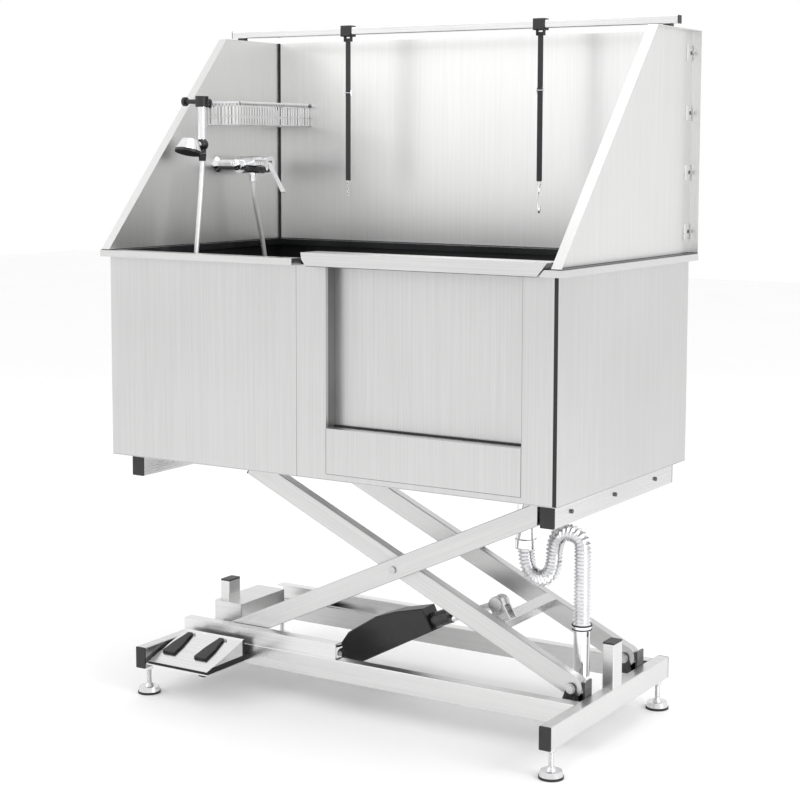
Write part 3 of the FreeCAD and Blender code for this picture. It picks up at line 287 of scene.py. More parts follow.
# %% Steel finishes
GRAIN = {"x": (1.0, 130.0, 130.0), "y": (130.0, 1.0, 130.0), "z": (130.0, 130.0, 1.0)}


STREAK_DEPTH = 0.0004


def brushed(finish, grain, cloud_size, tilt=0.0):
    """Streaks along the grain, clouds of wear, and both mixed into one light-and-dark mask."""
    streaks = finish.noise(3.0, 4.0, GRAIN[grain], tilt, 0.65)
    cloud = finish.noise(cloud_size, 3.0)
    return streaks, cloud, (streaks * 0.7 + cloud * 0.3).between(0.25, 0.75)


def steel(name, tone, shade, rough, grain="x", tilt=0.0, streak=0.10, relief=0.06):
    """Brushed stainless: tone and shade are its light and dark streaks."""
    finish = Finish(name, Metallic=1.0, Specular_IOR_Level=0.5)
    streaks, cloud, wear = brushed(finish, grain, 2.6, tilt)
    specks = finish.noise(55.0, 2.0)
    finish.wire(Base_Color=finish.mix(wear, shade, tone))
    finish.wire(Roughness=rough + (streaks - 0.5) * streak + (cloud - 0.5) * 0.12
                + (specks - 0.5) * 0.03)
    finish.relief(streaks, relief, STREAK_DEPTH)
    return finish


ARM_LEAN = 24.8
ARM_TONE = (0.68, 0.68, 0.675)
ARM_SHADE = (0.57, 0.57, 0.57)
tube_steel_x = steel("tube_steel_along", (0.76, 0.76, 0.755), (0.64, 0.64, 0.64), 0.30, "x")
tube_steel_y = steel("tube_steel_across", (0.74, 0.74, 0.74), (0.62, 0.62, 0.62), 0.28, "y")
inner_arm_steel = steel("inner_arm_steel", ARM_TONE, ARM_SHADE, 0.30, "x", -ARM_LEAN)
outer_arm_steel = steel("outer_arm_steel", ARM_TONE, ARM_SHADE, 0.30, "x", ARM_LEAN)
track_steel = steel("track_steel", (0.88, 0.88, 0.88), (0.74, 0.74, 0.74), 0.18, "x", relief=0.04)
bolt_steel = steel("bolt_steel", (0.70, 0.70, 0.71), (0.45, 0.45, 0.46), 0.30, "y", streak=0.05)
dark_bolt = steel("dark_bolt", (0.20, 0.20, 0.20), (0.09, 0.09, 0.09), 0.40, "y", streak=0.05)
print("steel finishes: 7")

# %% [markdown]
# ## Seams and painted shade
# The tub is bright outside; inside, its colour is a painted shade, with thin black lines where
# sheets meet. Some boxes also paint shadow into recesses and channels.
# Each could be a piece of its own, but a mask on Object coordinates is simpler: a point within
# a given box takes the dark tone. The finish keeps its grain everywhere else. The boxes are
# measured from the frame's own parts, and a strip is a short stretch of one axis.

# %% Steel with dark seams and painted shade
SEAM_AND_SHADOW_TONE = (0.022, 0.022, 0.023)


def within(axis, low, high):
    return (axis > low) * (axis < high)


def strip(start, width):
    return start, start + width


def sheet_steel(name, tone, shade, rough, seam_and_shade_boxes, dark=SEAM_AND_SHADOW_TONE, grain="z"):
    """Brushed sheet whose points inside any of the boxes are dark, for seams and for painted shade;
    None leaves an axis open.
    """
    finish = Finish(name, Specular_IOR_Level=0.5)
    axes = finish.axes()
    streaks, cloud, wear = brushed(finish, grain, 2.4)
    seam_and_shade_mask = None
    for box in seam_and_shade_boxes:
        inside = None
        for axis, limits in zip(axes, box):
            if limits:
                part = within(axis, *limits)
                inside = part if inside is None else inside * part
        seam_and_shade_mask = inside if seam_and_shade_mask is None else seam_and_shade_mask.math("MAXIMUM", seam_and_shade_mask, inside)
    bright = finish.mix(wear, shade, tone)
    # The boxes' colour: dark seam lines, and painted shade where a box stands for shadow.
    deep = finish.mix(cloud.between(0.3, 0.7), dark, tuple(c * 1.8 for c in dark))
    finish.wire(Base_Color=finish.mix(seam_and_shade_mask, bright, deep))
    finish.wire(Metallic=1.0 - seam_and_shade_mask * 0.35)
    finish.wire(Roughness=rough + (streaks - 0.5) * 0.10 + (cloud - 0.5) * 0.12)
    finish.relief(streaks, 0.06, STREAK_DEPTH)
    return finish


LIGHT = (0.67, 0.67, 0.668)
SHADE = (0.58, 0.58, 0.578)
EDGE_LIGHT = (0.76, 0.76, 0.755)
EDGE_SHADE = (0.66, 0.66, 0.66)
PAINTED_SHADE_TONE = (0.040, 0.041, 0.043)
HAIRLINE = 0.0015
SKIN = 0.0010

frame_low, frame_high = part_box("door_frame")
door_low, door_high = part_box("door_panel")
DOOR_OVERLAP = 0.020
SILL_TOP = door_low.z + 0.0208
APRON_LOW = frame_low.z + 0.0133
POST_TOP = frame_high.z + 0.0063
opening_left = door_low.x + DOOR_OVERLAP
opening_right = door_high.x - DOOR_OVERLAP
front_skin = strip(frame_low.y - 0.0005, HAIRLINE)
frame_steel = sheet_steel("door_frame_steel", LIGHT, SHADE, 0.36, [
    (strip(frame_low.x - 0.0003, HAIRLINE), None, None),
    # This box is a painted shadow on the inner face of the left door post, beside the recessed
    # door.
    (strip(opening_left - 0.0015, 0.0030), (frame_low.y + 0.010, 0.0), (SILL_TOP, POST_TOP)),
    (strip(opening_right - 0.0010, 0.0018), front_skin, (APRON_LOW, POST_TOP)),
    (strip(opening_left - 0.0009, HAIRLINE), front_skin, (APRON_LOW, SILL_TOP - 0.0005)),
    ((opening_left, opening_right), front_skin, strip(APRON_LOW - 0.0013, 0.0013)),
], (0.16, 0.16, 0.16))
door_steel = sheet_steel("door_steel", LIGHT, SHADE, 0.36, [
    (None, strip(door_high.y, 0.0003), None),
])

rim_low, rim_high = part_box("tub_rim")
cap_low, cap_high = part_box("door_cap")
# The box paints the rim's inner part near-black: painted shade and painted reflection of the dark
# tub inside.
rim_steel = sheet_steel("rim_steel", EDGE_LIGHT, EDGE_SHADE, 0.24, [
    ((rim_low.x + 0.0315, rim_high.x - 0.0315), (rim_low.y + 0.0405, rim_high.y + 0.032), None),
], (0.035, 0.036, 0.038), "x")
cap_steel = sheet_steel("cap_steel", EDGE_LIGHT, EDGE_SHADE, 0.24, [
    (None, None, strip(cap_low.z - 0.0007, 0.0018)),
], SEAM_AND_SHADOW_TONE, "x")

guard_low, guard_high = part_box("side_guards")
rear_low, rear_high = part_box("rear_guard")
guard_steel = sheet_steel("guard_steel", (0.82, 0.82, 0.815), (0.72, 0.72, 0.715), 0.34, [
    # The dark strip along the guards' foot is a painted shadow in the corner between the web and
    # the bottom flange.
    ((guard_low.x - 0.002, guard_high.x + 0.002), None, strip(guard_low.z + 0.0002, 0.0023)),
])
rear_steel = sheet_steel("rear_guard_steel", (0.88, 0.88, 0.875), (0.79, 0.79, 0.785), 0.33, [
    (None, None, strip(rear_low.z + 0.0002, 0.0026)),
    (strip(rear_low.x - 0.0002, 0.0067), None, None),
])

wall_low, wall_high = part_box("tub_walls")
floor_low, floor_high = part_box("tub_floor")
# Inside the tub, the walls' inner faces and the floor's top take a painted shade: a dark tone that
# stands for the shadow there.
tub_wall_skin = sheet_steel("tub_wall_skin", LIGHT, SHADE, 0.36, [
    ((wall_low.x + SKIN, wall_high.x - SKIN), (wall_low.y + SKIN, wall_high.y - SKIN), None),
], PAINTED_SHADE_TONE)
tub_floor_skin = sheet_steel("tub_floor_skin", LIGHT, SHADE, 0.36, [
    (None, None, strip(floor_high.z - 0.0005, 0.0088)),
], PAINTED_SHADE_TONE)

tray_low, tray_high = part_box("pedal_housing")
tray_lip = strip(tray_high.x - 0.0050, 0.0020)
tray_top = tray_low.z + 0.0030
pedal_steel = sheet_steel("pedal_steel", (0.88, 0.88, 0.88), (0.74, 0.74, 0.74), 0.24, [
    (None, strip(tray_low.y + 0.0025, 0.0020), strip(tray_top, 0.0055)),
    (tray_lip, None, strip(tray_top, 0.0130)),
    (tray_lip, strip(tray_high.y - 0.0240, 0.0100), None),
], SEAM_AND_SHADOW_TONE, "x")

track_low, track_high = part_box("lower_tracks")
TRACK_WALL = 0.0035
TRACK_GAP = 0.0245
track_inside = (track_low.z + TRACK_WALL, track_high.z - TRACK_WALL)
TRACK_TONE = (0.84, 0.84, 0.835)
TRACK_SHADE = (0.70, 0.70, 0.70)
# Inside the channels the colour is a painted shade, dark where the shadow falls in the recess.
lower_track_steel = sheet_steel("lower_track_steel", TRACK_TONE, TRACK_SHADE, 0.30, [
    (None, strip(track_low.y + TRACK_WALL, TRACK_GAP), track_inside),
    (None, strip(track_high.y - TRACK_WALL - TRACK_GAP, TRACK_GAP), track_inside),
], (0.10, 0.10, 0.10), "x")
print("sheet finishes: 10")

# %% [markdown]
# ## Black plastic, paint and rubber
# Caps and pedals are moulded in black plastic with a fine spark-eroded grain. The motor is
# black too, but its tubes are painted. Both need a soft sheen that varies, or they look like
# holes in the picture. Small bumps and a second, larger noise in the roughness do that.

# %% Black finishes
def black(name, tone, rough, grain_scale, depth, coat=0.0):
    finish = Finish(name, Metallic=0.0, IOR=1.5, Coat_Weight=coat, Coat_Roughness=0.15)
    grain = finish.noise(grain_scale, 3.0)
    cloud = finish.noise(14.0, 3.0)
    dust = finish.noise(120.0, 2.0).between(0.62, 0.80)
    base = finish.mix(cloud, tone, tuple(min(1.0, c * 1.7) for c in tone))
    finish.wire(Base_Color=finish.mix(dust * 0.10, base, (0.20, 0.20, 0.20)))
    finish.wire(Roughness=rough + (cloud - 0.5) * 0.14 + (grain - 0.5) * 0.10)
    finish.relief(grain, 0.35, depth)
    return finish


cap_plastic = black("cap_plastic", (0.012, 0.012, 0.013), 0.45, 900.0, 0.0003)
housing_plastic = black("housing_plastic", (0.010, 0.010, 0.011), 0.34, 700.0, 0.0003)
black_paint = black("black_paint", (0.012, 0.012, 0.013), 0.28, 260.0, 0.0002, 0.3)
seal_rubber = black("seal_rubber", (0.010, 0.010, 0.010), 0.62, 500.0, 0.0004)
cable_sheath = black("cable_sheath", (0.012, 0.012, 0.012), 0.50, 600.0, 0.0002)
print("black finishes: 5")

# %% [markdown]
# ## Chrome
# Chrome plating is almost a mirror, so its whole look is what it reflects. Only water marks
# and very fine wiping scratches vary its roughness.

# %% Chrome finishes
def plated(name, tone, rough):
    finish = Finish(name, Metallic=1.0)
    marks = finish.noise(38.0, 4.0)
    wipes = finish.noise(9.0, 3.0, (1.0, 18.0, 18.0), 20.0)
    dulled = tuple(c * 0.90 for c in tone)
    finish.wire(Base_Color=finish.mix(marks.between(0.45, 0.75), tone, dulled))
    finish.wire(Roughness=rough + marks * 0.05 + (wipes - 0.5) * 0.05)
    finish.relief(wipes, 0.04, 0.0002)
    return finish


chrome = plated("chrome", (0.88, 0.88, 0.89), 0.05)
hose_chrome = plated("hose_chrome", (0.86, 0.86, 0.87), 0.20)
wound_chrome = plated("wound_chrome", (0.95, 0.95, 0.95), 0.48)
basket_chrome = plated("basket_chrome", (0.95, 0.95, 0.95), 0.42)
print("chrome finishes: 4")

# %% [markdown]
# ## Webbing
# The tethers are flat nylon webbing. Its weave is a small repeating pattern, so waves crossed
# with waves serve better than noise: one set for the ribs, one for the threads between them.

# %% Webbing finish
RIB_PITCH = 0.0022
THREAD_PITCH = 0.0018


def waves(axis, pitch):
    return axis.math("SINE", axis * (2 * math.pi / pitch))


webbing = Finish("webbing", Metallic=0.0, Sheen_Weight=0.35, Sheen_Roughness=0.5)
across_strap, through_strap, along_strap = webbing.axes()
weave = waves(along_strap, RIB_PITCH) * waves(across_strap, THREAD_PITCH) * 0.5 + 0.5
fuzz = webbing.noise(700.0, 3.0)
webbing.wire(Base_Color=webbing.mix(weave * 0.6 + fuzz * 0.4,
                                    (0.006, 0.006, 0.007), (0.040, 0.040, 0.044)))
webbing.wire(Roughness=0.72 + (fuzz - 0.5) * 0.2)
webbing.relief(weave, 0.6, 0.0006)
print("webbing ready")

# %% [markdown]
# ## Finishes for the CAD parts
# Each part of the frame keeps its own mesh and only gets a material. A table of part to
# finish keeps the choice in one place and shows at once if a part was forgotten.

# %% Put the finishes on the frame
def dress(name, finish):
    nodes[name].data.materials.clear()
    nodes[name].data.materials.append(finish.material)


FINISH_OF = {
    tube_steel_x: ["base_frame_tubes", "control_box"],
    tube_steel_y: ["tub_bearers", "crank_tube"],
    inner_arm_steel: ["inner_arms"],
    outer_arm_steel: ["outer_arms"],
    track_steel: ["upper_tracks", "tether_bar"],
    lower_track_steel: ["lower_tracks"],
    pedal_steel: ["pedal_housing"],
    frame_steel: ["door_frame"],
    door_steel: ["door_panel"],
    rim_steel: ["tub_rim"],
    cap_steel: ["door_cap"],
    guard_steel: ["side_guards"],
    rear_steel: ["rear_guard"],
    tub_wall_skin: ["tub_walls"],
    tub_floor_skin: ["tub_floor"],
    bolt_steel: ["base_pivot_pins", "centre_bolts", "lower_rollers", "upper_rollers", "crank_pin"],
    dark_bolt: ["tub_bolts"],
    cap_plastic: ["base_end_caps", "upper_end_caps", "inner_arm_plugs", "outer_arm_plugs",
                  "raise_pedal", "lower_pedal", "tether_slider_left", "tether_slider_right",
                  "shower_holder"],
    housing_plastic: ["gearbox_housing", "power_inlet", "shower_elbow"],
    black_paint: ["motor_and_ram_tubes", "base_pivot_ears"],
    # The black door seals are partly painted shadow: besides sealing, they stand for the dark gap
    # at the sill.
    seal_rubber: ["door_seals"],
    cable_sheath: ["control_cables"],
    chrome: ["ram_rod", "mixer_body", "mixer_cap", "mixer_lever", "shower_handset", "drain_fitting",
             "drain_plug", "waste_pipe", "tether_hardware_left", "tether_hardware_right"],
    basket_chrome: ["wash_basket"],
    hose_chrome: ["waste_hose"],
    wound_chrome: ["shower_hose"],
    webbing: ["tether_strap_left", "tether_strap_right"],
}
for finish, names in FINISH_OF.items():
    for name in names:
        dress(name, finish)
dressed = sum(len(names) for names in FINISH_OF.values())
print("parts with a finish:", dressed, "of", len(nodes))

# %% [markdown]
# ## Levelling feet
# A foot is a steel cup on a black rubber pad. Both are one CAD part, so the finish changes
# with height: rubber up to 6 mm over the floor and bright steel above it. The stem's screw
# thread is a fine wave in the relief.

# %% Foot finish
RUBBER_TOP = 0.0061
SCREW_PITCH = 0.0017
SCREW_LOW, SCREW_HIGH = 0.028, 0.061

foot_finish = Finish("foot_finish")
foot_x, foot_y, foot_z = foot_finish.axes()
is_rubber = foot_z < RUBBER_TOP
foot_marks = foot_finish.noise(60.0, 3.0)
foot_thread = waves(foot_z, SCREW_PITCH)
bright = foot_finish.mix(foot_marks, (0.62, 0.62, 0.63), (0.82, 0.82, 0.83))
foot_finish.wire(Base_Color=foot_finish.mix(is_rubber, bright, (0.02, 0.02, 0.02)))
foot_finish.wire(Metallic=1.0 - is_rubber)
foot_finish.wire(Roughness=0.20 + is_rubber * 0.45 + foot_marks * 0.08)
foot_finish.relief(foot_thread * within(foot_z, SCREW_LOW, SCREW_HIGH), 0.5, 0.0006)
for corner in ("front_left", "front_right", "rear_left", "rear_right"):
    dress("levelling_foot_" + corner, foot_finish)
print("feet finished: 4")

# %% [markdown]
# ## Helpers for new pieces
# New pieces are small meshes. Each starts from a bmesh operator such as a cone or a circle,
# and is then extruded, spun or bevelled. One last helper turns the bmesh into an object,
# points its faces outwards, gives it a finish and ties it to the body it moves with.

# %% Mesh helpers
def along_frame(start, end):
    """A matrix whose Z axis runs from start to end and whose origin is halfway."""
    start, end = Vector(start), Vector(end)
    turn = (end - start).to_track_quat("Z", "Y").to_matrix().to_4x4()
    return Matrix.Translation((start + end) / 2) @ turn


def add_rod(bm, start, end, radius, sides=12, end_radius=None):
    """A round bar between two points, or a cone if the end has its own radius."""
    length = (Vector(end) - Vector(start)).length
    bmesh.ops.create_cone(bm, cap_ends=True, segments=sides, radius1=radius,
                          radius2=radius if end_radius is None else end_radius,
                          depth=length, matrix=along_frame(start, end))


def add_ring(bm, centre, normal, major, minor, steps=20, sides=8, stretch=1.0):
    """A ring of round wire: a small circle spun about the ring's axis, then pulled long."""
    made = bmesh.ops.create_circle(bm, segments=sides, radius=minor)
    verts = made["verts"]
    stand = Matrix.Translation((major, 0, 0)) @ Matrix.Rotation(math.pi / 2, 4, "X")
    bmesh.ops.transform(bm, matrix=stand, verts=verts)
    edges = list({e for v in verts for e in v.link_edges})
    before = set(bm.verts) - set(verts)
    bmesh.ops.spin(bm, geom=verts + edges, cent=(0, 0, 0), axis=(0, 0, 1), angle=2 * math.pi,
                   steps=steps, use_merge=True, use_duplicate=False)
    ring = [v for v in bm.verts if v not in before]
    turn = Vector(normal).to_track_quat("Z", "Y").to_matrix().to_4x4()
    place = Matrix.Translation(centre) @ turn @ Matrix.Diagonal((1, stretch, 1, 1))
    bmesh.ops.transform(bm, matrix=place, verts=ring)


def add_block(bm, low, high, bevel=0.0, segments=2):
    """A box between two corners with its edges rounded off."""
    low, high = Vector(low), Vector(high)
    size = high - low
    place = Matrix.Translation((low + high) / 2) @ Matrix.Diagonal((*size, 1))
    made = bmesh.ops.create_cube(bm, size=1.0, matrix=place)
    if bevel:
        edges = list({e for v in made["verts"] for e in v.link_edges})
        bmesh.ops.bevel(bm, geom=edges, offset=bevel, affect="EDGES", segments=segments,
                        profile=0.5, material=-1)


def make_piece(bm, name, body, finish, smooth_angle=35.0):
    """Turns a bmesh into a finished piece that rides on a CAD body."""
    bmesh.ops.recalc_face_normals(bm, faces=bm.faces)
    mesh = bpy.data.meshes.new(name)
    bm.to_mesh(mesh)
    bm.free()
    mesh.materials.append(finish.material)
    for face in mesh.polygons:
        face.use_smooth = True
    mesh.set_sharp_from_angle(angle=math.radians(smooth_angle))
    piece = bpy.data.objects.new(name, mesh)
    bpy.context.collection.objects.link(piece)
    if body:
        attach(piece, body)
    print(name, "faces:", len(mesh.polygons))
    return piece


print("mesh helpers ready")

# %% [markdown]
# ## Following a route
# A ribbed hose is a ring that is extruded step by step along its line, growing and shrinking
# as it goes. A curve's bevel can't do that, because its thickness is even. The ring is carried
# by a frame that turns as little as possible from step to step, so the ribs never twist.

# %% Sweep a ring along a line
def even_steps(places, step):
    """Points a fixed distance apart along a line."""
    total = line_length(places)
    count = max(2, round(total / step))
    spacing = total / count
    found = [places[0].copy()]
    carried = 0.0
    for a, b in zip(places, places[1:]):
        run = (b - a).length
        while carried + run >= spacing * len(found) - 1e-9 and len(found) < count:
            share = (spacing * len(found) - carried) / run
            found.append(a.lerp(b, share))
        carried += run
    found.append(places[-1].copy())
    return found


def sweep(bm, points, radii, sides):
    """A tube whose radius changes from point to point."""
    heading = (points[1] - points[0]).normalized()
    turn = heading.to_track_quat("Z", "Y")
    here = Matrix.Translation(points[0]) @ turn.to_matrix().to_4x4()
    made = bmesh.ops.create_circle(bm, cap_ends=True, segments=sides, radius=radii[0], matrix=here)
    edges = list({e for v in made["verts"] for e in v.link_edges})
    for index in range(1, len(points)):
        ahead = points[min(index + 1, len(points) - 1)] - points[index - 1]
        turn = heading.rotation_difference(ahead.normalized()) @ turn
        heading = ahead.normalized()
        there = Matrix.Translation(points[index]) @ turn.to_matrix().to_4x4()
        grow = radii[index] / radii[index - 1]
        made = bmesh.ops.extrude_edge_only(bm, edges=edges)["geom"]
        verts = [g for g in made if isinstance(g, bmesh.types.BMVert)]
        edges = [g for g in made if isinstance(g, bmesh.types.BMEdge)]
        bmesh.ops.transform(bm, matrix=there @ Matrix.Scale(grow, 4) @ here.inverted(), verts=verts)
        here = there
    bmesh.ops.contextual_create(bm, geom=edges)


print("sweep ready")

# %% [markdown]
# ## The waste hose
# Under the drain hangs a chromed, corrugated hose that is bent up into a trap and down to the
# waste pipe. Its ribs are round, so the radius follows a cosine. The hose joins the tub, which
# rises and sinks, to the pipe, which stays; here it is one fixed mesh tied to neither of them.

# %% Waste hose
RIB = 0.0088
STEPS_PER_RIB = 4
HOSE_RADIUS = 0.0190
RIB_HEIGHT = 0.0030

waste_points = even_steps(read_line(routes["waste_hose_line"]), RIB / STEPS_PER_RIB)
waste_radii = [HOSE_RADIUS + RIB_HEIGHT * math.cos(2 * math.pi * index / STEPS_PER_RIB)
               for index in range(len(waste_points))]
bm = bmesh.new()
sweep(bm, waste_points, waste_radii, 32)
waste_hose = make_piece(bm, "waste_hose_ribbed", None, hose_chrome, 80.0)
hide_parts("waste_hose")
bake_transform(waste_hose)
bpy.data.objects.remove(routes["waste_hose_line"])

# %% [markdown]
# ## Cuffs of the waste hose
# A smooth chromed cuff with rolled edges clamps the hose to the drain. Two black rings seal its
# other end to the pipe. All are short turned parts, so they are made from rods and rings.

# %% Hose cuffs
UP = (0, 0, 1)
CUFF_LOW, CUFF_HIGH = 0.442, 0.465
CUFF_RADIUS = 0.0262
drain_x = ROUTES["waste_hose_line"][0][0]
pipe_x, pipe_y, pipe_top = ROUTES["waste_hose_line"][-1]

bm = bmesh.new()
add_rod(bm, (drain_x, 0, CUFF_LOW), (drain_x, 0, CUFF_HIGH), CUFF_RADIUS, 40)
for height in (CUFF_HIGH, CUFF_LOW + 0.001):
    add_ring(bm, (drain_x, 0, height), UP, CUFF_RADIUS - 0.0006, 0.0016, 40)
make_piece(bm, "waste_hose_upper_cuff", "tub", chrome)
bm = bmesh.new()
for below, major, minor in ((0.0015, 0.0232, 0.0022), (0.0115, 0.0228, 0.0018)):
    add_ring(bm, (pipe_x, pipe_y, pipe_top - below), UP, major, minor, 40)
make_piece(bm, "waste_pipe_seal", "waste_pipe", seal_rubber)

# %% [markdown]
# ## The shower hose
# The hand shower hangs on a hose of wound metal strip. Each turn of the strip is a small step,
# so the radius goes up and down every three millimetres. The hose hangs in one long loop inside
# the tub, from the tap's outlet up to the hand shower. A hexagonal nut joins it to the tap, and
# a black cone joins it to the holder's swivel.

# %% Shower hose
HALF_TURN = 0.0016
WOUND_RADIUS = (0.0059, 0.0068)
PATH_STEP = 6
NUT_RADIUS = 0.0098
CONE_RADIUS = (0.0088, 0.0108)

shower_points = even_steps(read_line(routes["shower_hose_line"]), HALF_TURN)
shower_radii = [WOUND_RADIUS[index % 2] for index in range(len(shower_points))]
shower_path = [tuple(p) for p in shower_points[::PATH_STEP]] + [tuple(shower_points[-1])]
bm = bmesh.new()
sweep(bm, shower_points, shower_radii, 14)
shower_hose = make_piece(bm, "shower_hose_wound", "tub", wound_chrome, 80.0)
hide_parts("shower_hose")
bpy.data.objects.remove(routes["shower_hose_line"])
tap_x, tap_y, tap_z = ROUTES["shower_hose_line"][0]
end_x, end_y, end_z = ROUTES["shower_hose_line"][-1]
bm = bmesh.new()
add_rod(bm, (tap_x, tap_y, tap_z + 0.0033), (tap_x, tap_y, tap_z - 0.0167), NUT_RADIUS, 6)
make_piece(bm, "shower_hose_lower_nut", "tub", chrome)
bm = bmesh.new()
add_rod(bm, (end_x, end_y, end_z - 0.0202), (end_x, end_y, end_z - 0.0007),
        CONE_RADIUS[0], 24, CONE_RADIUS[1])
make_piece(bm, "shower_hose_upper_cone", "tub", cap_plastic)

# %% [markdown]
# ## Control cables
# Two thin leads run to the control box: one from the pedals, one from the motor. They are
# round and even, so the curve's own bevel is enough.

# %% Control cables
CABLE_LENGTH = {"pedal_cable": 0.321, "motor_cable": 0.369}
CABLE_DIAMETER = 0.006
for name, length in CABLE_LENGTH.items():
    cable = routes[name]
    cable.data.bevel_depth = CABLE_DIAMETER / 2
    cable.data.bevel_resolution = 4
    cable.data.use_fill_caps = True
    cable.data.materials.append(cable_sheath.material)
    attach(cable, "base")
    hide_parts("control_cables")
    print(name, "laid", length, "m")

# %% [markdown]
# ## Basket
# The basket for bottles has flat bright bars all round, between a broad top rail and two thin
# ones lower down. CAD holds its place with a plain open box. Here every bar is a thin block of
# its own, and two black studs hold the basket to the guard.

# %% Basket of flat bars
BASKET_SKIN = 0.0006
BAR_WIDTH = 0.0058
BAR_THICKNESS = 0.0014
BARS_ACROSS = 27
BARS_ALONG = 8
RAIL_THICKNESS = 0.0026

low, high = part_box("wash_basket")
bm = bmesh.new()
x0, y0, z0 = low.x + BASKET_SKIN, low.y + BASKET_SKIN, low.z + BASKET_SKIN
x1, y1, z1 = high.x - BASKET_SKIN, high.y - BASKET_SKIN, high.z - BASKET_SKIN
bar_top = z1 - 0.004
rails = ((z1, 0.011, RAIL_THICKNESS), (z0 + 0.026, 0.0026, 0.0016),
         (z0 + 0.0034, 0.0034, RAIL_THICKNESS))
for z, tall, deep in rails:
    for side_x in (x0, x1 - deep):
        add_block(bm, (side_x, y0, z - tall), (side_x + deep, y1, z), 0.0005, 1)
    for side_y in (y0, y1 - deep):
        add_block(bm, (x0, side_y, z - tall), (x1, side_y + deep, z), 0.0005, 1)
for step in range(BARS_ACROSS + 1):
    y = y0 + (y1 - y0 - BAR_WIDTH) * step / BARS_ACROSS
    for x in (x0, x1 - BAR_THICKNESS):
        add_block(bm, (x, y, z0), (x + BAR_THICKNESS, y + BAR_WIDTH, bar_top), 0.0003, 1)
    add_block(bm, (x0, y, z0), (x1, y + 0.0030, z0 + BAR_THICKNESS))
for step in range(1, BARS_ALONG + 1):
    x = x0 + (x1 - x0) * step / (BARS_ALONG + 1)
    for y in (y0, y1 - BAR_THICKNESS):
        add_block(bm, (x, y, z0), (x + BAR_WIDTH, y + BAR_THICKNESS, bar_top), 0.0003, 1)
basket = make_piece(bm, "basket_bars", "tub", basket_chrome)
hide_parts("wash_basket")
bm = bmesh.new()
stud_z = high.z - 0.009
for y in (low.y + 0.006, high.y - 0.006):
    add_rod(bm, (low.x + 0.004, y, stud_z), (low.x + 0.012, y, stud_z), 0.0085, 20)
make_piece(bm, "basket_mounts", "tub", cap_plastic)

# %% [markdown]
# ## Tether fittings
# Each tether is shortened with a bright ladder buckle. The right one ends in a snap hook and the
# left one in a short chain. A link is a ring pulled long, and every second link is turned a
# quarter.

# %% Tether fittings
SIDEWAYS = (0, 1, 0)
NEARLY_ALONG = (1, 0.001, 0)
LINKS = 6


def ladder_buckle(bm, x, y, z):
    """A frame of wire with a middle bar that grips the strap."""
    half, tall, wire = 0.0095, 0.0062, 0.0014
    for side in (-1, 1):
        add_rod(bm, (x - half, y, z + side * tall), (x + half, y, z + side * tall), wire, 10)
        add_rod(bm, (x + side * half, y, z - tall), (x + side * half, y, z + tall), wire, 10)
    add_rod(bm, (x - half, y - 0.0024, z), (x + half, y - 0.0024, z), wire, 10)


def snap_hook(bm, x, y, top, length):
    """A swivel eye, a barrel and a long hook."""
    barrel_top, barrel_end = top - 0.008, top - 0.016
    half, wire = 0.0046, 0.0013
    add_ring(bm, (x, y, top - 0.004), SIDEWAYS, 0.0048, 0.0012, 20, 8)
    add_rod(bm, (x, y, barrel_top), (x, y, barrel_end), 0.0034, 14)
    add_ring(bm, (x, y, barrel_end - length / 2), SIDEWAYS, half, wire, 24, 8,
             (length / 2) / (half + wire))


for side, chain in (("left", True), ("right", False)):
    low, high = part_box("tether_hardware_" + side)
    x = (low.x + high.x) / 2
    y = (low.y + high.y) / 2
    strap_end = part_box("tether_strap_" + side)[0].z
    bm = bmesh.new()
    ladder_buckle(bm, x, y, high.z - 0.007)
    if chain:
        pitch = (strap_end - low.z) / LINKS
        for index in range(LINKS):
            normal = SIDEWAYS if index % 2 else NEARLY_ALONG
            middle = (x, y, strap_end - pitch * (index + 0.5))
            add_ring(bm, middle, normal, 0.0026, 0.0007, 16, 6, 1.75)
    else:
        snap_hook(bm, x, y, strap_end, strap_end - low.z - 0.019)
    fitting = make_piece(bm, "tether_fittings_" + side, "tether_" + side, chrome)
    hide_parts("tether_hardware_" + side)

# %% [markdown]
# ## Pedal treads
# Each pedal has raised bars across it, so that a wet shoe doesn't slip. The bars lie on the
# pedal's slope and get shorter with its taper.

# %% Pedal treads
PEDAL_RISE = 0.048
PEDAL_RUN = 0.152
TREADS = 9
TREAD_PITCH = 0.008
TREAD_RADIUS = 0.0012
SLOPE = math.atan2(PEDAL_RISE, PEDAL_RUN)
for name in ("raise_pedal", "lower_pedal"):
    low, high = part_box(name)
    middle = (low.x + high.x) / 2
    bm = bmesh.new()
    for step in range(TREADS):
        back = 0.018 + step * TREAD_PITCH
        half = 0.0052 + 0.0110 * (back / 0.09)
        y = high.y - 0.004 - back * math.cos(SLOPE)
        z = high.z - 0.0006 - back * math.sin(SLOPE)
        add_rod(bm, (middle - half, y, z), (middle + half, y, z), TREAD_RADIUS, 8)
    make_piece(bm, name + "_treads", name, cap_plastic)

# %% [markdown]
# ## Spray face
# The hand shower's face has rings of small rubber nozzles. A nozzle is a short cone with a few
# sides, because there are many of them.

# %% Spray nozzles
HEAD_TILT = math.radians(16.0)
HEAD_CENTRE = Vector((-0.563, -0.123, 1.4127))
FACE_DEPTH = 0.021
NOZZLE_RINGS = 4
RING_STEP = 0.007

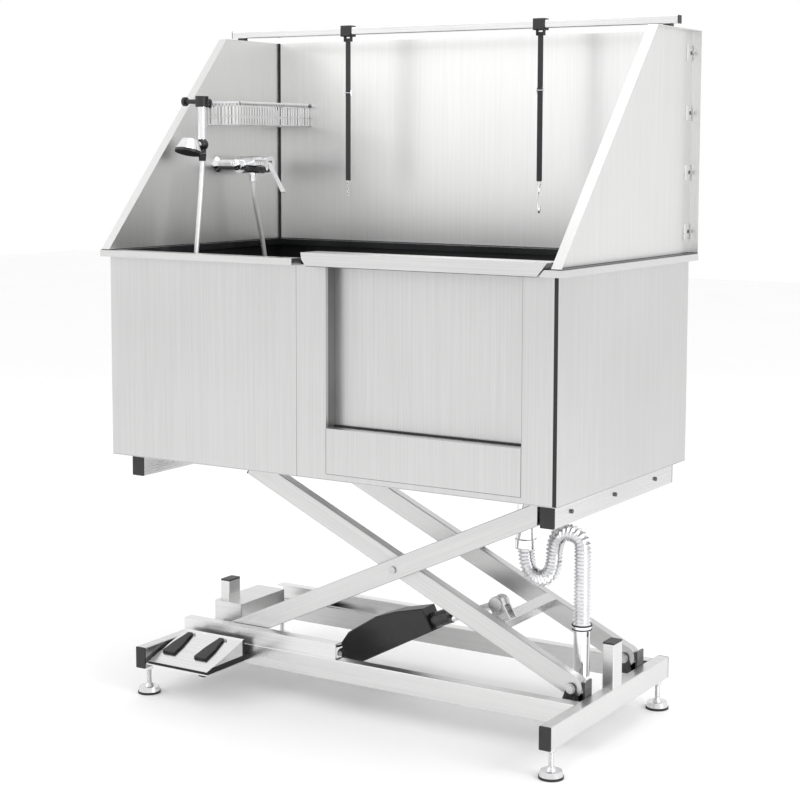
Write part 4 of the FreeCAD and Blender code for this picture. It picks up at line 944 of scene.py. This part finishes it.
spray_axis = Vector((0, -math.sin(HEAD_TILT), -math.cos(HEAD_TILT)))
spray_side = Vector((1, 0, 0))
spray_up = spray_axis.cross(spray_side)
spray_face = HEAD_CENTRE + spray_axis * FACE_DEPTH
bm = bmesh.new()
for ring in range(1, NOZZLE_RINGS + 1):
    radius, count = RING_STEP * ring, 6 * ring
    for index in range(count):
        angle = 2 * math.pi * index / count
        spot = spray_face + (spray_side * math.cos(angle) + spray_up * math.sin(angle)) * radius
        add_rod(bm, spot - spray_axis * 0.001, spot + spray_axis * 0.0022, 0.0012, 6, 0.0008)
make_piece(bm, "spray_nozzles", "handset", seal_rubber)

# %% [markdown]
# ## Guard brackets
# The side guards are held to the rear guard by small flat clips, four on each side. Their bolts
# are parts of the frame.

# %% Guard clips
CLIP_FACE = rear_high.x + 0.0017
CLIP_THICKNESS = 0.0022
CLIP_BACK = rear_high.y - 0.004
CLIP_WIDTH = 0.036
CLIP_HALF = 0.019
CLIP_LOWEST = rear_low.z + 0.055
CLIP_PITCH = 0.1467

bm = bmesh.new()
for side in (-1, 1):
    near, far = sorted((side * CLIP_FACE, side * (CLIP_FACE + CLIP_THICKNESS)))
    for step in range(4):
        z = CLIP_LOWEST + step * CLIP_PITCH
        add_block(bm, (near, CLIP_BACK - CLIP_WIDTH, z - CLIP_HALF),
                  (far, CLIP_BACK, z + CLIP_HALF), 0.0007, 2)
make_piece(bm, "guard_clips", "tub", track_steel)

# %% [markdown]
# ## The room
# A plain pale floor and soft light from large lamps keep the steel readable. The floor is part
# of the stage, not of the bath. Its finish has a faint mottling, like sealed concrete. All
# lamps aim at the middle of the bath, and each is larger than a door, so shadows stay soft.

# %% Floor and light
FLOOR_HALF = 14.0
MIDDLE = (0, 0, 0.9)
ABOVE_MIDDLE = (0, 0, 1.0)

floor_finish = Finish("studio_floor")
mottle = floor_finish.noise(1.2, 4.0)
floor_finish.wire(Base_Color=floor_finish.mix(mottle, (0.95, 0.95, 0.95), (0.98, 0.98, 0.98)))
floor_finish.wire(Roughness=0.55 + mottle * 0.1)
bm = bmesh.new()
bmesh.ops.create_grid(bm, x_segments=1, y_segments=1, size=FLOOR_HALF)
floor_mesh = bpy.data.meshes.new("studio_floor")
bm.to_mesh(floor_mesh)
bm.free()
floor_mesh.materials.append(floor_finish.material)
floor_object = bpy.data.objects.new("studio_floor", floor_mesh)
bpy.context.collection.objects.link(floor_object)


def lamp(name, place, target, size, power):
    """A rectangular lamp that faces its target; power is in watts."""
    data = bpy.data.lights.new(name, "AREA")
    data.shape = "RECTANGLE"
    data.size, data.size_y = size
    data.energy = power
    light = bpy.data.objects.new(name, data)
    aim = (Vector(target) - Vector(place)).to_track_quat("-Z", "Y").to_matrix().to_4x4()
    light.matrix_world = Matrix.Translation(place) @ aim
    bpy.context.collection.objects.link(light)


lamp("key_light", (-2.6, -3.4, 3.4), MIDDLE, (2.6, 2.2), 30)
lamp("right_light", (4.2, -0.6, 2.2), MIDDLE, (2.0, 2.6), 75)
lamp("top_light", (0.2, 0.2, 4.2), ABOVE_MIDDLE, (3.0, 2.4), 30)
world = bpy.data.worlds.new("studio")
world.use_nodes = True
bpy.context.scene.world = world
backdrop = world.node_tree.nodes["Background"]
backdrop.inputs["Color"].default_value = (1.0, 1.0, 1.0, 1.0)
backdrop.inputs["Strength"].default_value = 1.0
bpy.context.scene.view_settings.view_transform = "Standard"
print("stage ready")
